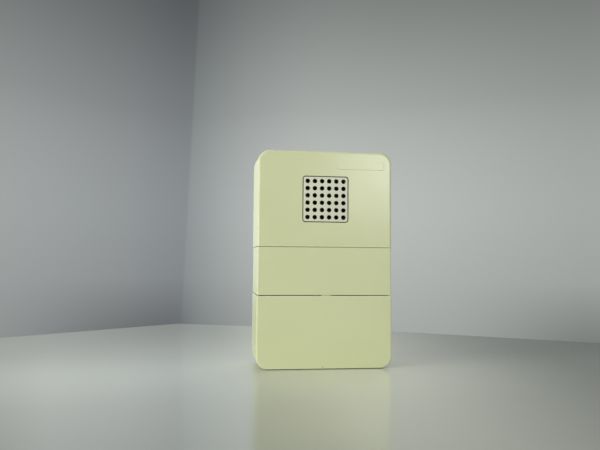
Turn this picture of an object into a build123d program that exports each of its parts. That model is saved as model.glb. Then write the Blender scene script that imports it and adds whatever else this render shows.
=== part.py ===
from build123d import *
import math
import os

# A battery door chime: a moulded casing on a wall plate, with a loudspeaker, a circuit board and
# four cells inside. Sizes are in millimetres. X runs to the right as seen from the room, Y runs
# into the wall and Z up. The origin is the centre of the face that lies against the wall.

# Casing
face_width = 120.0
face_height = 192.0
depth = 47.0
side_draft = 1.8
face_corner_r = 10.5
wall = 2.4
upper_edge_r = 2.0
lower_edge_r = 1.2
groove_chamfer = 0.35
rim_gap = 0.5
fit_gap = 0.3

# The upper and lower covers, the grooves beside them, and the band that fills the rest
upper_height = 85.5
lower_height = 64.0
upper_groove_gap = 0.35
lower_groove_gap = 0.6
band_inset = 0.3
lip_gap = 0.2
lip_wall = 1.4
lip_reach = 3.0
catch_x = 1.0
catch_width = 8.0
catch_gap = 0.12
catch_setback = 0.7
catch_thick = 1.4

# Raised name pad, left bare
pad_width = 42.0
pad_height = 7.4
pad_rise = 0.4
pad_corner_r = 1.0
pad_right_in = 7.5
pad_top_down = 8.6

# Grille plate
grille_size = 40.0
grille_corner_r = 2.1
grille_down = 43.0
grille_pitch = 6.43
grille_hole_r = 2.05
grille_rows = 6
grille_gap = 0.5
grille_recess = 0.1
grille_edge_r = 0.3
grille_flange_wide = 2.0
grille_flange_thick = 1.2
cloth_thick = 0.5

# Loudspeaker
speaker_r = 28.5
flange_width = 4.9
gasket_seat = 0.9
gasket_thick = 2.3
basket_sheet = 0.9
basket_deep = 12.0
basket_step = 2.2
basket_back_r = 17.0
window_width = 9.0
magnet_r = 17.0
magnet_bore_r = 8.0
magnet_thick = 7.0
pole_plate_r = 15.0
pole_plate_thick = 2.0
pole_r = 5.6
coil_r = 6.0
coil_wall = 0.4
coil_gap = 0.4
coil_long = 7.0
cone_wall = 0.5
cone_edge_gap = 0.3
cone_setback = 1.1
cone_deep = 6.6
cap_rise = 2.6
surround_thick = 0.5
spider_r = 13.0
spider_thick = 0.5
strip_long = 10.0
strip_margin = 0.45
strip_thick = 1.0
strip_angle = -62.0
clip_width = 7.0
clip_long = 9.6
clip_thick = 0.8
clip_post_r = 3.5
clip_post_gap = 0.5

# Wall plate
plate_thick = 3.0
plate_chamfer = 0.4
boss_r = 5.5
boss_rise = 3.0
keyhole_r = 4.5
keyhole_slot = 4.6
keyhole_down = 29.0
keyhole_drop = 9.0
wall_hole_r = 2.25
wall_hole_spacing = 90.0
wall_hole_up = 30.0
cable_hole_r = 5.0
cable_hole_in = 15.0
cable_hole_up = 15.0
guide_wall = 1.5
guide_long = 22.0
guide_deep = 22.0
guide_up = 14.0
guide_gap = 0.4

# Posts of the covers and their screws
post_r = 4.0
post_side_gap = 1.5
post_end_gap = 4.0
post_lip_gap = 1.0
web_thick = 1.2
web_deep = 20.0
screw_r = 1.5
screw_bite = 12.0
pilot_spare = 1.0
head_r = 3.0
head_high = 2.2
counterbore_r = 3.6
counterbore_deep = 3.6
thread_gap = 0.05
hole_gap = 0.2

# Circuit board
board_side_gap = 1.6
board_height = 44.0
board_thick = 1.6
board_up = 66.0
standoff = 5.0
standoff_r = 3.2
tongue_width = 20.5
tongue_long = 29.0
tongue_side_gap = 3.6
board_screw_r = 1.25
board_screw_long = 6.0
board_head_r = 2.4
board_head_high = 1.7
hole_edge = 4.0

# Parts on the board: places are offsets from the board's middle, across and up
chip_place = (0.0, 4.4)
chip_size = (19.2, 3.4, 6.4)
chip_lift = 0.6
pin_count = 16
pin_pitch = 2.54
pin_sheet = 0.3
pin_wide = 0.5
pin_row = 7.9
can_sizes = ((-30.0, 12.3, 4.0, 12.0), (-18.0, 13.2, 3.15, 11.0), (30.0, 2.2, 3.15, 11.0))
can_groove = 0.3
resistor_places = [(-31.0 + 8.6 * i, -9.7 + 2.6 * (i % 2)) for i in range(7)]
resistor_r = 1.15
resistor_long = 6.2
resistor_lift = 0.4
leg_r = 0.3
leg_span = 9.6
transistor_places = ((-4.0, 15.8), (6.0, 15.8), (17.0, 6.5))
transistor_r = 2.3
transistor_flat = 1.5
transistor_high = 4.6
transistor_leg = 3.0
transistor_leg_wide = 0.5
transistor_leg_pitch = 1.27

# Volume wheel and tune switch
wheel_r = 8.0
wheel_thick = 3.0
wheel_shaft_r = 3.0
wheel_gap = 0.5
wheel_notches = 24
wheel_notch_r = 0.5
wheel_edge = 0.5
wheel_mark_wide = 1.0
running_gap = 0.05
pot_size = 10.0
pot_high = 4.5
switch_width = 12.0
switch_tall = 6.0
switch_high = 5.0
stack_gap = 1.5
lever_width = 3.0
lever_tall = 2.8
lever_rise = 3.5
lever_travel = 4.0
lever_gap = 0.2

# Terminal block
pole_count = 3
pole_pitch = 6.8
terminal_edge = 1.0
terminal_tall = 11.0
terminal_high = 12.0
terminal_base = 1.2
clamp_sheet = 1.0
clamp_wide = 4.6
clamp_high = 7.6
clamp_tall = 5.6
clamp_gap = 0.2
wire_way = 3.0
terminal_screw_r = 1.4
terminal_head_r = 2.1
terminal_head_high = 1.6

# Battery holder and cells
cell_r = 7.1
cell_body = 49.5
nub_r = 2.75
nub_high = 1.0
cell_count = 4
cell_gap = 0.9
spring_room = 5.7
holder_gap = 1.8
holder_wall = 1.5
holder_floor = 1.2
holder_high = 13.5
divider_thick = 1.0
divider_high = 4.8
contact_thick = 0.4
contact_wide = 11.0
tab_wide = 3.0
tab_long = 2.4
ear_long = 7.0
ear_tall = 10.0
ear_thick = 2.0
ear_up = 27.0
spring_wire_r = 0.35
spring_base_r = 4.8
spring_top_r = 2.6
spring_turns = 3.5
contact_gap = 0.05

# Leads
lead_r = 0.5
battery_lead_shift = 4.3

# Places of the casing, its posts and its grille, which follow from the sizes above
z_bottom = -(face_height + side_draft) / 2
z_face_top = z_bottom + face_height
z_upper_groove = z_face_top - upper_height
z_lower_groove = z_bottom + lower_height
z_grille = z_face_top - grille_down
y_front = -depth
y_inner = y_front + wall
y_plate = -plate_thick
y_boss = y_plate - boss_rise
post_x = face_width / 2 - wall - post_side_gap - post_r
post_off_groove = lip_reach + post_lip_gap + post_r
z_posts_high = z_face_top - wall - post_end_gap - post_r
z_posts_low = z_upper_groove + post_off_groove
upper_posts = [(side * post_x, z) for side in (-1, 1) for z in (z_posts_low, z_posts_high)]
band_posts = [(side * post_x, z_upper_groove - post_off_groove) for side in (-1, 1)]

# Places of the loudspeaker
y_speaker = y_inner + gasket_thick
y_flange = y_speaker + basket_sheet
flange_inner_r = speaker_r - flange_width
gasket_inner_r = flange_inner_r + gasket_seat
clip_r = speaker_r + clip_post_gap + clip_post_r
clip_angles = (0, 90, 180, 270)

# Places on the board: terminals, tune switch and volume wheel stand one above another on a tongue
# at the left, where they can be reached once the lower cover is off
z_board = z_bottom + board_up
z_board_top = z_board + board_height
board_half = post_x - post_r - board_side_gap
y_board = y_plate - standoff
y_parts = y_board - board_thick
tongue_left = -(face_width / 2 - wall - tongue_side_gap)
tongue_right = tongue_left + tongue_width
tongue_x = (tongue_left + tongue_right) / 2
z_tongue = z_board - tongue_long
z_terminal = z_tongue + terminal_edge
z_switch = z_terminal + terminal_tall + stack_gap + switch_tall / 2
z_wheel = z_switch + switch_tall / 2 + stack_gap + wheel_r
lever_x = tongue_x - lever_travel / 2
pole_places = [tongue_x + (i - (pole_count - 1) / 2) * pole_pitch for i in range(pole_count)]

# Places of the cells, beside the tongue
z_holder = z_bottom + wall + 2 * fit_gap
z_cells = z_holder + holder_wall
cell_space = cell_body + nub_high + spring_room + 2 * contact_thick
z_cells_top = z_cells + cell_space
cell_pitch = 2 * cell_r + cell_gap
holder_half = cell_count * cell_pitch / 2 + holder_wall
holder_x = tongue_right + holder_gap + holder_half
y_cells = y_plate - holder_floor - contact_gap - cell_r
y_tab = y_cells - contact_wide / 4
cell_places = [holder_x + (i - (cell_count - 1) / 2) * cell_pitch for i in range(cell_count)]


# Shared shapes
def across(x, y, z):
    """A drawing plane across the casing, with X to the right and Z up, that faces the room."""
    return Plane(origin=(x, y, z), x_dir=(1, 0, 0), z_dir=(0, -1, 0))


def outline(y, inset):
    """The casing's outline at depth y, drawn in by inset on all four sides."""
    grow = side_draft * (y - y_front) / depth
    width = face_width + 2 * (grow - inset)
    height = face_height + grow - 2 * inset
    radius = face_corner_r + grow - inset
    middle = z_bottom + inset + height / 2
    return across(0, y, middle) * RectangleRounded(width, height, radius)


def drafted(y_from, y_to, inset):
    return loft([outline(y_from, inset), outline(y_to, inset)], ruled=True)


def slab(z_low, z_high):
    """Everything between two heights."""
    middle = (z_low + z_high) / 2
    return Pos(0, y_front / 2, middle) * Box(2 * face_width, 3 * depth, z_high - z_low)


def block(x_low, x_high, y_low, y_high, z_low, z_high):
    centre = ((x_low + x_high) / 2, (y_low + y_high) / 2, (z_low + z_high) / 2)
    return Pos(*centre) * Box(x_high - x_low, y_high - y_low, z_high - z_low)


def rod(x, z, y_low, y_high, radius):
    """A round bar along Y."""
    return Pos(x, (y_low + y_high) / 2, z) * Rot(90, 0, 0) * Cylinder(radius, y_high - y_low)


def prism(x, z, width, height, radius, y_low, y_high):
    """A bar along Y with rounded corners."""
    return extrude(across(x, y_high, z) * RectangleRounded(width, height, radius), y_high - y_low)


def ring(x, z, y_low, y_high, inner_r, outer_r):
    over = y_high - y_low
    return rod(x, z, y_low, y_high, outer_r) - rod(x, z, y_low - over, y_high + over, inner_r)


def turned(points):
    """A solid of revolution about the loudspeaker's axis, from (radius, y) points."""
    profile = make_face(Polyline([(r, y, 0) for r, y in points], close=True))
    return Pos(0, 0, z_grille) * revolve(profile, Axis.Y)


def edges_at(shape, axis, place):
    return shape.edges().filter_by_position(axis, place - 0.01, place + 0.01)


def pan_screw(x, z, y_seat, radius, length, head_radius, head_height, inward):
    """A pan-head screw along Y with a cross recess; inward is the way its point goes, 1 or -1."""
    shank_end = y_seat + inward * length
    head_end = y_seat - inward * head_height
    screw = rod(x, z, min(y_seat, shank_end), max(y_seat, shank_end), radius)
    screw += rod(x, z, min(y_seat, head_end), max(y_seat, head_end), head_radius)
    screw = fillet(edges_at(screw, Axis.Y, head_end), 0.3 * head_height)
    recess = head_height / 2
    arm = head_radius / 2
    slot = head_radius / 8
    for half_x, half_z in ((arm, slot), (slot, arm)):
        screw -= block(x - half_x, x + half_x, head_end - recess, head_end + recess, z - half_z, z + half_z)
    return screw


def groove_section(z, edge_r, inset, drawn):
    """A cover cut across at height z, with its front and sides drawn in."""
    y_behind = 2 * depth
    front = face_width / 2 - inset - drawn
    back = front + side_draft * (y_behind - y_front) / depth
    corners = [(-front, y_front + drawn), (front, y_front + drawn), (back, y_behind), (-back, y_behind)]
    section = make_face(Polyline(*corners, close=True))
    return Pos(0, 0, z) * fillet(section.vertices().sort_by(Axis.Y)[:2], edge_r - drawn)


def soften_groove(cover, z, way, edge_r, inset):
    """Breaks a cover's outer edges along the groove at height z; way points from there into the cover."""
    ends = [z - way * groove_chamfer, z + 2 * way * groove_chamfer]
    taper = loft(
        [
            groove_section(ends[0], edge_r, inset, 2 * groove_chamfer),
            groove_section(ends[1], edge_r, inset, -groove_chamfer),
        ],
        ruled=True,
    )
    return cover - (slab(min(ends), max(ends)) - taper)


def cover_shell(edge_r, inset, z_low, z_high):
    """The casing's walls between two heights, with the front edge rounded."""
    body = drafted(y_front, -rim_gap, inset)
    body = fillet(edges_at(body, Axis.Y, y_front), edge_r)
    body -= drafted(y_inner, depth, wall)
    return body & slab(z_low, z_high)


def screw_post(x, z):
    """A post behind the front wall with a web to the side wall, bored for a screw from behind."""
    root = y_front + wall / 2
    post = rod(x, z, root, y_boss, post_r)
    side = 1 if x > 0 else -1
    wall_x = side * (face_width / 2 - wall / 2)
    half = web_thick / 2
    post += block(min(x, wall_x), max(x, wall_x), root, y_inner + web_deep, z - half, z + half)
    return post - rod(x, z, y_boss - screw_bite - pilot_spare, y_boss + 1, screw_r + thread_gap)


# Covers
def make_upper_cover():
    """Front, sides and top above the upper groove, with the grille's opening and the name pad."""
    z_low = z_upper_groove + upper_groove_gap / 2
    cover = cover_shell(upper_edge_r, 0, z_low, z_face_top + depth)
    cover = soften_groove(cover, z_low, 1, upper_edge_r, 0)
    for x, z in upper_posts:
        cover += screw_post(x, z)
    opening = grille_size + 2 * grille_gap
    hole = prism(0, z_grille, opening, opening, grille_corner_r + grille_gap, y_front - 1, y_inner + 1)
    cover -= hole
    for angle in clip_angles:
        x = clip_r * math.cos(math.radians(angle))
        z = z_grille + clip_r * math.sin(math.radians(angle))
        cover += rod(x, z, y_inner - wall / 2, y_flange, clip_post_r)
        cover -= rod(x, z, y_inner - wall / 2, y_flange + 1, 1 + thread_gap)
    pad_x = face_width / 2 - pad_right_in - pad_width / 2
    pad_z = z_face_top - pad_top_down - pad_height / 2
    pad = prism(pad_x, pad_z, pad_width, pad_height, pad_corner_r, y_front - pad_rise, y_front + wall / 2)
    cover += fillet(edges_at(pad, Axis.Y, y_front - pad_rise), pad_rise / 2)
    return cover


def lip(z_low, z_high, outer, inner):
    """A strip along the inside of the front and side walls, between two insets."""
    y_back = y_plate - 2 * fit_gap
    strip = drafted(y_front + outer, y_back, outer) - drafted(y_front + inner, depth, inner)
    return strip & slab(z_low, z_high)


def make_centre_band():
    """The fixed band between the grooves, with a lip behind each groove and a catch below."""
    z_low = z_lower_groove + lower_groove_gap / 2
    z_high = z_upper_groove - upper_groove_gap / 2
    band = cover_shell(lower_edge_r, band_inset, z_low, z_high)
    for z_edge, way in ((z_low, 1), (z_high, -1)):
        band = soften_groove(band, z_edge, way, lower_edge_r, band_inset)
    outer = wall + lip_gap
    inner = outer + lip_wall
    for z_edge, way in ((z_low, -1), (z_high, 1)):
        root = z_edge - way * lip_reach
        tip = z_edge + way * lip_reach
        band += lip(min(root, tip), max(root, tip), outer, inner)
        band += lip(min(root, z_edge), max(root, z_edge), wall - lip_gap, inner)
    y_catch = y_front + catch_setback
    nub = lower_groove_gap - catch_gap
    half = catch_width / 2
    band += block(catch_x - half, catch_x + half, y_catch, y_catch + catch_thick, z_low - nub, z_low + nub)
    for x, z in band_posts:
        band += screw_post(x, z)
    return band


def make_lower_cover():
    """The battery cover: front, sides and bottom, with two ribs that keep the cells in place."""
    z_high = z_lower_groove - lower_groove_gap / 2
    cover = cover_shell(lower_edge_r, 0, z_bottom - depth, z_high)
    cover = soften_groove(cover, z_high, -1, lower_edge_r, 0)
    y_rib = y_cells - cell_r - fit_gap
    z_mid = (z_cells + z_cells_top) / 2
    for x in (holder_x - cell_pitch, holder_x + cell_pitch):
        half = web_thick / 2
        cover += block(x - half, x + half, y_inner - wall / 2, y_rib, z_mid - cell_r, z_mid + cell_r)
    return cover


# Wall plate
def make_back_plate():
    """The plate that is screwed to the wall, with bosses, board standoffs and cover guides."""
    inset = wall + fit_gap
    grow = side_draft * (depth - plate_thick) / depth
    width = face_width + 2 * (grow - inset)
    height = face_height + grow - 2 * inset
    middle = z_bottom + inset + height / 2
    plate = prism(0, middle, width, height, face_corner_r + grow - inset, y_plate, 0)
    plate = chamfer(edges_at(plate, Axis.Y, 0), plate_chamfer)
    root = -plate_thick / 2
    for x, z in upper_posts + band_posts:
        plate += rod(x, z, y_boss, root, boss_r)
    for x, z in board_holes():
        plate += rod(x, z, y_board, root, standoff_r)
    z_guide = z_bottom + guide_up
    y_guide = y_plate - guide_deep
    guide_x = face_width / 2 + side_draft * (y_guide - y_front) / depth - wall - guide_gap
    for side in (-1, 1):
        near = side * (guide_x - guide_wall)
        far = side * guide_x
        plate += block(min(near, far), max(near, far), y_guide, root, z_guide, z_guide + guide_long)
    for x, z in upper_posts + band_posts:
        plate -= rod(x, z, -counterbore_deep, 1, counterbore_r)
        plate -= rod(x, z, y_boss - 1, 1, screw_r + hole_gap)
    for x, z in board_holes():
        plate -= rod(x, z, y_board - 1, y_board + board_screw_long, board_screw_r + thread_gap)
    for x, z in ear_places():
        plate -= rod(x, z, y_plate - 1, 1, board_screw_r + thread_gap)
    z_key = z_face_top - keyhole_down
    plate -= rod(0, z_key, y_plate - 1, 1, keyhole_r)
    slot_half = keyhole_slot / 2
    plate -= block(-slot_half, slot_half, y_plate - 1, 1, z_key, z_key + keyhole_drop)
    plate -= rod(0, z_key + keyhole_drop, y_plate - 1, 1, slot_half)
    for side in (-1, 1):
        plate -= rod(side * wall_hole_spacing / 2, z_bottom + wall_hole_up, y_plate - 1, 1, wall_hole_r)
    cable_x = -(face_width / 2 - cable_hole_in)
    plate -= rod(cable_x, z_bottom + cable_hole_up, y_plate - 1, 1, cable_hole_r)
    return plate


def make_casing_screws():
    """Six screws from behind the plate, four into the upper cover and two into the band."""
    length = screw_bite + plate_thick + boss_rise - counterbore_deep
    return [
        pan_screw(x, z, -counterbore_deep, screw_r, length, head_r, head_high, -1)
        for x, z in upper_posts + band_posts
    ]


# Grille
def make_grille_plate():
    """The square insert with its holes, and a flange behind that bears on the cover's inside."""
    plate = prism(0, z_grille, grille_size, grille_size, grille_corner_r, y_front + grille_recess, y_inner)
    plate = fillet(edges_at(plate, Axis.Y, y_front + grille_recess), grille_edge_r)
    flange = grille_size + 2 * (grille_gap + grille_flange_wide)
    bearing = prism(0, z_grille, flange, flange, grille_corner_r, y_inner, y_inner + grille_flange_thick)
    plate += bearing & rod(0, z_grille, y_inner, y_inner + grille_flange_thick, gasket_inner_r - fit_gap)
    first = -grille_pitch * (grille_rows - 1) / 2
    for column in range(grille_rows):
        for row in range(grille_rows):
            x = first + column * grille_pitch
            z = z_grille + first + row * grille_pitch
            plate -= rod(x, z, y_front - 1, y_inner + 2 * grille_flange_thick, grille_hole_r)
    return plate


def make_grille_cloth():
    y_low = y_inner + grille_flange_thick
    return rod(0, z_grille, y_low, y_low + cloth_thick, gasket_inner_r - fit_gap)


# Loudspeaker
def make_speaker_gasket():
    return ring(0, z_grille, y_inner, y_speaker, gasket_inner_r, speaker_r - fit_gap)


def make_speaker_basket():
    """Pressed frame: a flat flange, a short straight step, a sloping wall with windows, a disc."""
    t = basket_sheet
    y_back = y_speaker + basket_deep
    profile = [
        (speaker_r, y_speaker),
        (speaker_r, y_flange),
        (flange_inner_r, y_flange),
        (flange_inner_r, y_flange + basket_step),
        (basket_back_r, y_back - t),
        (basket_back_r, y_back),
        (coil_r + coil_wall + coil_gap, y_back),
        (coil_r + coil_wall + coil_gap, y_back - t),
        (basket_back_r - t, y_back - t),
        (flange_inner_r - t, y_flange + basket_step),
        (flange_inner_r - t, y_speaker),
    ]
    basket = turned(profile)
    y_window = (y_flange + y_back) / 2
    for angle in (45, 135, 225, 315):
        window = Pos(0, y_window, z_grille) * Rot(0, angle, 0)
        window *= Pos(speaker_r, 0, 0) * Box(speaker_r, basket_deep / 2, window_width)
        basket -= window
    return basket


def make_pole_parts():
    """Front washer, magnet ring, and the back disc with the centre pole."""
    y_washer = y_speaker + basket_deep
    y_magnet = y_washer + pole_plate_thick
    y_disc = y_magnet + magnet_thick
    washer = ring(0, z_grille, y_washer, y_magnet, coil_r + coil_wall + coil_gap, pole_plate_r)
    magnet = ring(0, z_grille, y_magnet, y_disc, magnet_bore_r, magnet_r)
    pole = rod(0, z_grille, y_disc, y_disc + pole_plate_thick, pole_plate_r)
    pole += rod(0, z_grille, y_washer, y_disc, pole_r)
    return washer, magnet, pole


def cone_line(offset):
    """Neck and rim of the cone's wall, as (radius, y) points, offset along Y."""
    rim_r = flange_inner_r - basket_sheet - 2 * cone_edge_gap
    y_rim = y_speaker + cone_setback + offset
    return (coil_r, y_rim + cone_deep), (rim_r, y_rim)


def make_speaker_cone():
    front = cone_line(0)
    back = cone_line(cone_wall)
    return turned([front[0], front[1], back[1], back[0]])


def make_voice_coil():
    neck = cone_line(cone_wall)[0]
    return ring(0, z_grille, neck[1], neck[1] + coil_long, coil_r, coil_r + coil_wall)


def make_dust_cap():
    """A shallow dome glued to the front of the cone, around its neck."""
    neck, rim = cone_line(0)
    slope = (neck[1] - rim[1]) / (rim[0] - neck[0])
    cap_r = neck[0] + 2
    y_edge = neck[1] - 2 * slope
    dome_r = (cap_r**2 + cap_rise**2) / (2 * cap_rise)
    y_ball = y_edge + dome_r - cap_rise
    dome = Pos(0, y_ball, z_grille) * Sphere(dome_r)
    dome -= Pos(0, y_ball, z_grille) * Sphere(dome_r - cone_wall)
    return dome & rod(0, z_grille, y_edge - 2 * cap_rise, y_edge - cone_wall / 4, cap_r)


def make_surround():
    """The soft ring between the cone and the frame, with a half roll between them."""
    inner = flange_inner_r - basket_sheet - cone_edge_gap
    outer = gasket_inner_r - fit_gap / 2
    return ring(0, z_grille, y_speaker - surround_thick, y_speaker, inner, outer)


def make_spider():
    y_high = y_speaker + basket_deep - basket_sheet - 0.1
    return ring(0, z_grille, y_high - spider_thick, y_high, coil_r + coil_wall + cone_edge_gap, spider_r)


def at_rim(angle):
    """Placement behind the speaker's rim: X runs outwards and Z along the rim."""
    return Pos(0, y_flange, z_grille) * Rot(0, -angle, 0)


def make_terminal_strip():
    """The speaker's solder strip, with two tinned eyelets."""
    middle = (flange_inner_r + speaker_r) / 2
    strip_wide = speaker_r - flange_inner_r - 2 * strip_margin
    strip = Pos(middle, strip_thick / 2, 0) * Box(strip_wide, strip_thick, strip_long)
    for z in (-strip_long / 4, strip_long / 4):
        strip += Pos(middle, strip_thick, z) * Rot(90, 0, 0) * Cylinder(1, strip_thick)
    return at_rim(strip_angle) * strip


def make_clips():
    clips = []
    for angle in clip_angles:
        clip = Box(clip_long, clip_thick, clip_width)
        clip = Pos(clip_r - clip_long / 2 + clip_post_r, clip_thick / 2, 0) * clip
        clip -= Pos(clip_r, 0, 0) * Rot(90, 0, 0) * Cylinder(1 + hole_gap, 4 * clip_thick)
        clips.append(at_rim(angle) * clip)
    return clips


def make_clip_screws():
    screws = []
    for angle in clip_angles:
        x = clip_r * math.cos(math.radians(angle))
        z = z_grille + clip_r * math.sin(math.radians(angle))
        length = gasket_thick + basket_sheet + clip_thick
        screws.append(pan_screw(x, z, y_flange + clip_thick, 1, length, 1.9, 1.4, -1))
    return screws


# Circuit board
def board_holes():
    """Four screw places: three corners, and one beside the tongue."""
    half = board_half - hole_edge
    high = z_board_top - hole_edge
    low = z_board + hole_edge
    return [(-half, high), (half, high), (half, low), (tongue_right + hole_edge, low)]


def make_circuit_board():
    board = block(-board_half, board_half, y_parts, y_board, z_board, z_board_top)
    z_high = z_wheel + pot_size / 2 + 1
    board += block(tongue_left, tongue_right, y_parts, y_board, z_tongue, z_high)
    for x, z in board_holes():
        board -= rod(x, z, y_parts - 1, y_board + 1, board_screw_r + hole_gap)
    return board


def make_board_screws():
    length = board_screw_long + board_thick - 1
    places = board_holes()
    return [
        pan_screw(x, z, y_parts, board_screw_r, length, board_head_r, board_head_high, 1) for x, z in places
    ]


def on_board(place):
    """A place on the board, as X and Z."""
    return place[0], (z_board + z_board_top) / 2 + place[1]


def make_melody_chip():
    """A dual-in-line package with a notch at its end and a row of pins on each long side."""
    x, z = on_board(chip_place)
    long, high, wide = chip_size
    y_low = y_parts - chip_lift - high
    y_leg = y_parts - chip_lift - high / 2
    chip = block(x - long / 2, x + long / 2, y_low, y_parts - chip_lift, z - wide / 2, z + wide / 2)
    chip -= rod(x - long / 2, z, y_low - 1, y_low + high / 4, wide / 8)
    half = pin_wide / 2
    for i in range(pin_count // 2):
        pin_x = x + (i - (pin_count // 2 - 1) / 2) * pin_pitch
        for side in (-1, 1):
            tip = z + side * (pin_row + pin_sheet) / 2
            bend = z + side * (pin_row - pin_sheet) / 2
            inside = z + side * (wide / 2 - pin_sheet)
            y_pin = y_leg + pin_sheet
            chip += block(pin_x - half, pin_x + half, y_leg, y_pin, min(inside, tip), max(inside, tip))
            chip += block(pin_x - half, pin_x + half, y_leg, y_parts, min(bend, tip), max(bend, tip))
    return chip


def make_capacitors():
    """Upright electrolytic capacitors, each with a pressed groove near the board."""
    cans = []
    for across_board, up, radius, high in can_sizes:
        x, z = on_board((across_board, up))
        can = rod(x, z, y_parts - high, y_parts, radius)
        can = fillet(edges_at(can, Axis.Y, y_parts - high), radius / 8)
        y_groove = y_parts - high / 5
        neck = radius - can_groove
        cans.append(can - ring(x, z, y_groove - can_groove, y_groove + can_groove, neck, 2 * radius))
    return cans


def make_resistors():
    """Axial resistors lying on the board, with their legs bent down to it."""
    resistors = []
    y_axis = y_parts - resistor_lift - resistor_r
    for place in resistor_places:
        x, z = on_board(place)
        body = Pos(x, y_axis, z) * Cylinder(resistor_r, resistor_long)
        body += Pos(x, y_axis, z) * Cylinder(leg_r, leg_span + 2 * leg_r)
        for side in (-1, 1):
            body += rod(x, z + side * leg_span / 2, y_axis - leg_r, y_parts, leg_r)
        resistors.append(body)
    return resistors


def make_transistors():
    """Small flat-sided transistors on short legs."""
    parts = []
    y_body = y_parts - transistor_leg
    half = transistor_leg_wide / 2
    for place in transistor_places:
        x, z = on_board(place)
        y_top = y_body - transistor_high
        body = rod(x, z, y_top, y_body, transistor_r)
        over = 2 * transistor_r
        body -= block(x - over, x + over, y_top - 1, y_body + 1, z - over, z - transistor_flat)
        for leg in (-transistor_leg_pitch, 0, transistor_leg_pitch):
            body += block(x + leg - half, x + leg + half, y_body - half, y_parts, z - half, z + half)
        parts.append(body)
    return parts


# Volume wheel
def make_volume_pot():
    half = pot_size / 2
    y_low = y_parts - pot_high
    body = block(tongue_x - half, tongue_x + half, y_low, y_parts, z_wheel - half, z_wheel + half)
    return body - rod(tongue_x, z_wheel, y_parts - 2 * pot_high, y_parts - 0.5, wheel_shaft_r + running_gap)


def make_volume_wheel():
    """Thumbwheel on the control's shaft, notched round its rim, with a pointer groove."""
    y_back = y_parts - pot_high - wheel_gap
    wheel = rod(tongue_x, z_wheel, y_back - wheel_thick, y_back, wheel_r)
    wheel = chamfer(edges_at(wheel, Axis.Y, y_back - wheel_thick), wheel_edge)
    for i in range(wheel_notches):
        angle = 2 * math.pi * i / wheel_notches
        x = tongue_x + wheel_r * math.cos(angle)
        z = z_wheel + wheel_r * math.sin(angle)
        wheel -= rod(x, z, y_back - 2 * wheel_thick, y_back + 1, wheel_notch_r)
    y_face = y_back - wheel_thick
    z_mark = z_wheel - wheel_r * 0.75
    half = wheel_mark_wide / 2
    y_mark = y_face + wheel_mark_wide / 2
    wheel -= block(tongue_x - half, tongue_x + half, y_face - 1, y_mark, z_mark, z_wheel - wheel_r / 4)
    return wheel + rod(tongue_x, z_wheel, y_back - 1, y_parts - 1, wheel_shaft_r)


# Tune switch
def make_switch_body():
    half = switch_width / 2
    tall = switch_tall / 2
    y_face = y_parts - switch_high
    body = block(tongue_x - half, tongue_x + half, y_face, y_parts, z_switch - tall, z_switch + tall)
    way = (lever_width + lever_travel) / 2 + lever_gap
    open_tall = lever_tall / 2 + lever_gap
    return body - block(
        tongue_x - way, tongue_x + way, y_face - 1, y_parts - 1.2, z_switch - open_tall, z_switch + open_tall
    )


def make_switch_lever():
    y_tip = y_parts - switch_high - lever_rise
    half = lever_width / 2
    tall = lever_tall / 2
    lever = block(lever_x - half, lever_x + half, y_tip, y_parts - 1.6, z_switch - tall, z_switch + tall)
    return chamfer(edges_at(lever, Axis.Y, y_tip), 0.3)


# Terminal block
def make_terminal_block():
    """Screw terminals: wires enter from below, and the screws face the room."""
    x_low = tongue_x - pole_count * pole_pitch / 2
    x_high = tongue_x + pole_count * pole_pitch / 2
    y_terminal = y_parts - terminal_high
    body = block(x_low, x_high, y_terminal, y_parts, z_terminal, z_terminal + terminal_tall)
    z_pole = z_terminal + terminal_tall / 2
    for x in pole_places:
        room = clamp_wide / 2 + clamp_gap
        y_high = y_parts - terminal_base
        y_low = y_high - clamp_high - 2 * clamp_gap
        z_room = z_pole + clamp_tall / 2 + clamp_gap
        body -= block(x - room, x + room, y_low, y_high, z_terminal - 1, z_room)
        body -= rod(x, z_pole, y_terminal - 1, y_high - clamp_gap, terminal_head_r + clamp_gap)
    return body


def make_terminal_clamps():
    """Brass cages, each with a way for the wire and a tapped hole for its screw."""
    clamps = []
    z_pole = z_terminal + terminal_tall / 2
    y_high = y_parts - terminal_base - clamp_gap
    y_low = y_high - clamp_high
    for x in pole_places:
        half = clamp_wide / 2
        clamp = block(x - half, x + half, y_low, y_high, z_pole - clamp_tall / 2, z_pole + clamp_tall / 2)
        way = wire_way / 2
        y_way = y_high - clamp_sheet
        clamp -= block(x - way, x + way, y_way - wire_way, y_way, z_pole - clamp_tall, z_pole + clamp_tall)
        clamps.append(clamp - rod(x, z_pole, y_low - 1, y_way - way, terminal_screw_r + thread_gap))
    return clamps


def make_terminal_screws():
    z_pole = z_terminal + terminal_tall / 2
    y_seat = y_parts - terminal_base - 2 * clamp_gap - clamp_high
    length = clamp_high - wire_way
    screws = []
    for x in pole_places:
        screw = rod(x, z_pole, y_seat, y_seat + length, terminal_screw_r)
        screw += rod(x, z_pole, y_seat - terminal_head_high, y_seat, terminal_head_r)
        y_head = y_seat - terminal_head_high
        slot = terminal_head_r * 2
        screw -= block(x - slot, x + slot, y_head - 1, y_head + 0.8, z_pole - 0.35, z_pole + 0.35)
        screws.append(screw)
    return screws


# Battery holder
def ear_places():
    reach = holder_half + ear_long / 2
    return [(holder_x + side * reach, z_bottom + ear_up) for side in (-1, 1)]


def lead_tabs():
    """The places of the two solder tabs, above the outer cells."""
    return [cell_places[0], cell_places[-1]]


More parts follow.
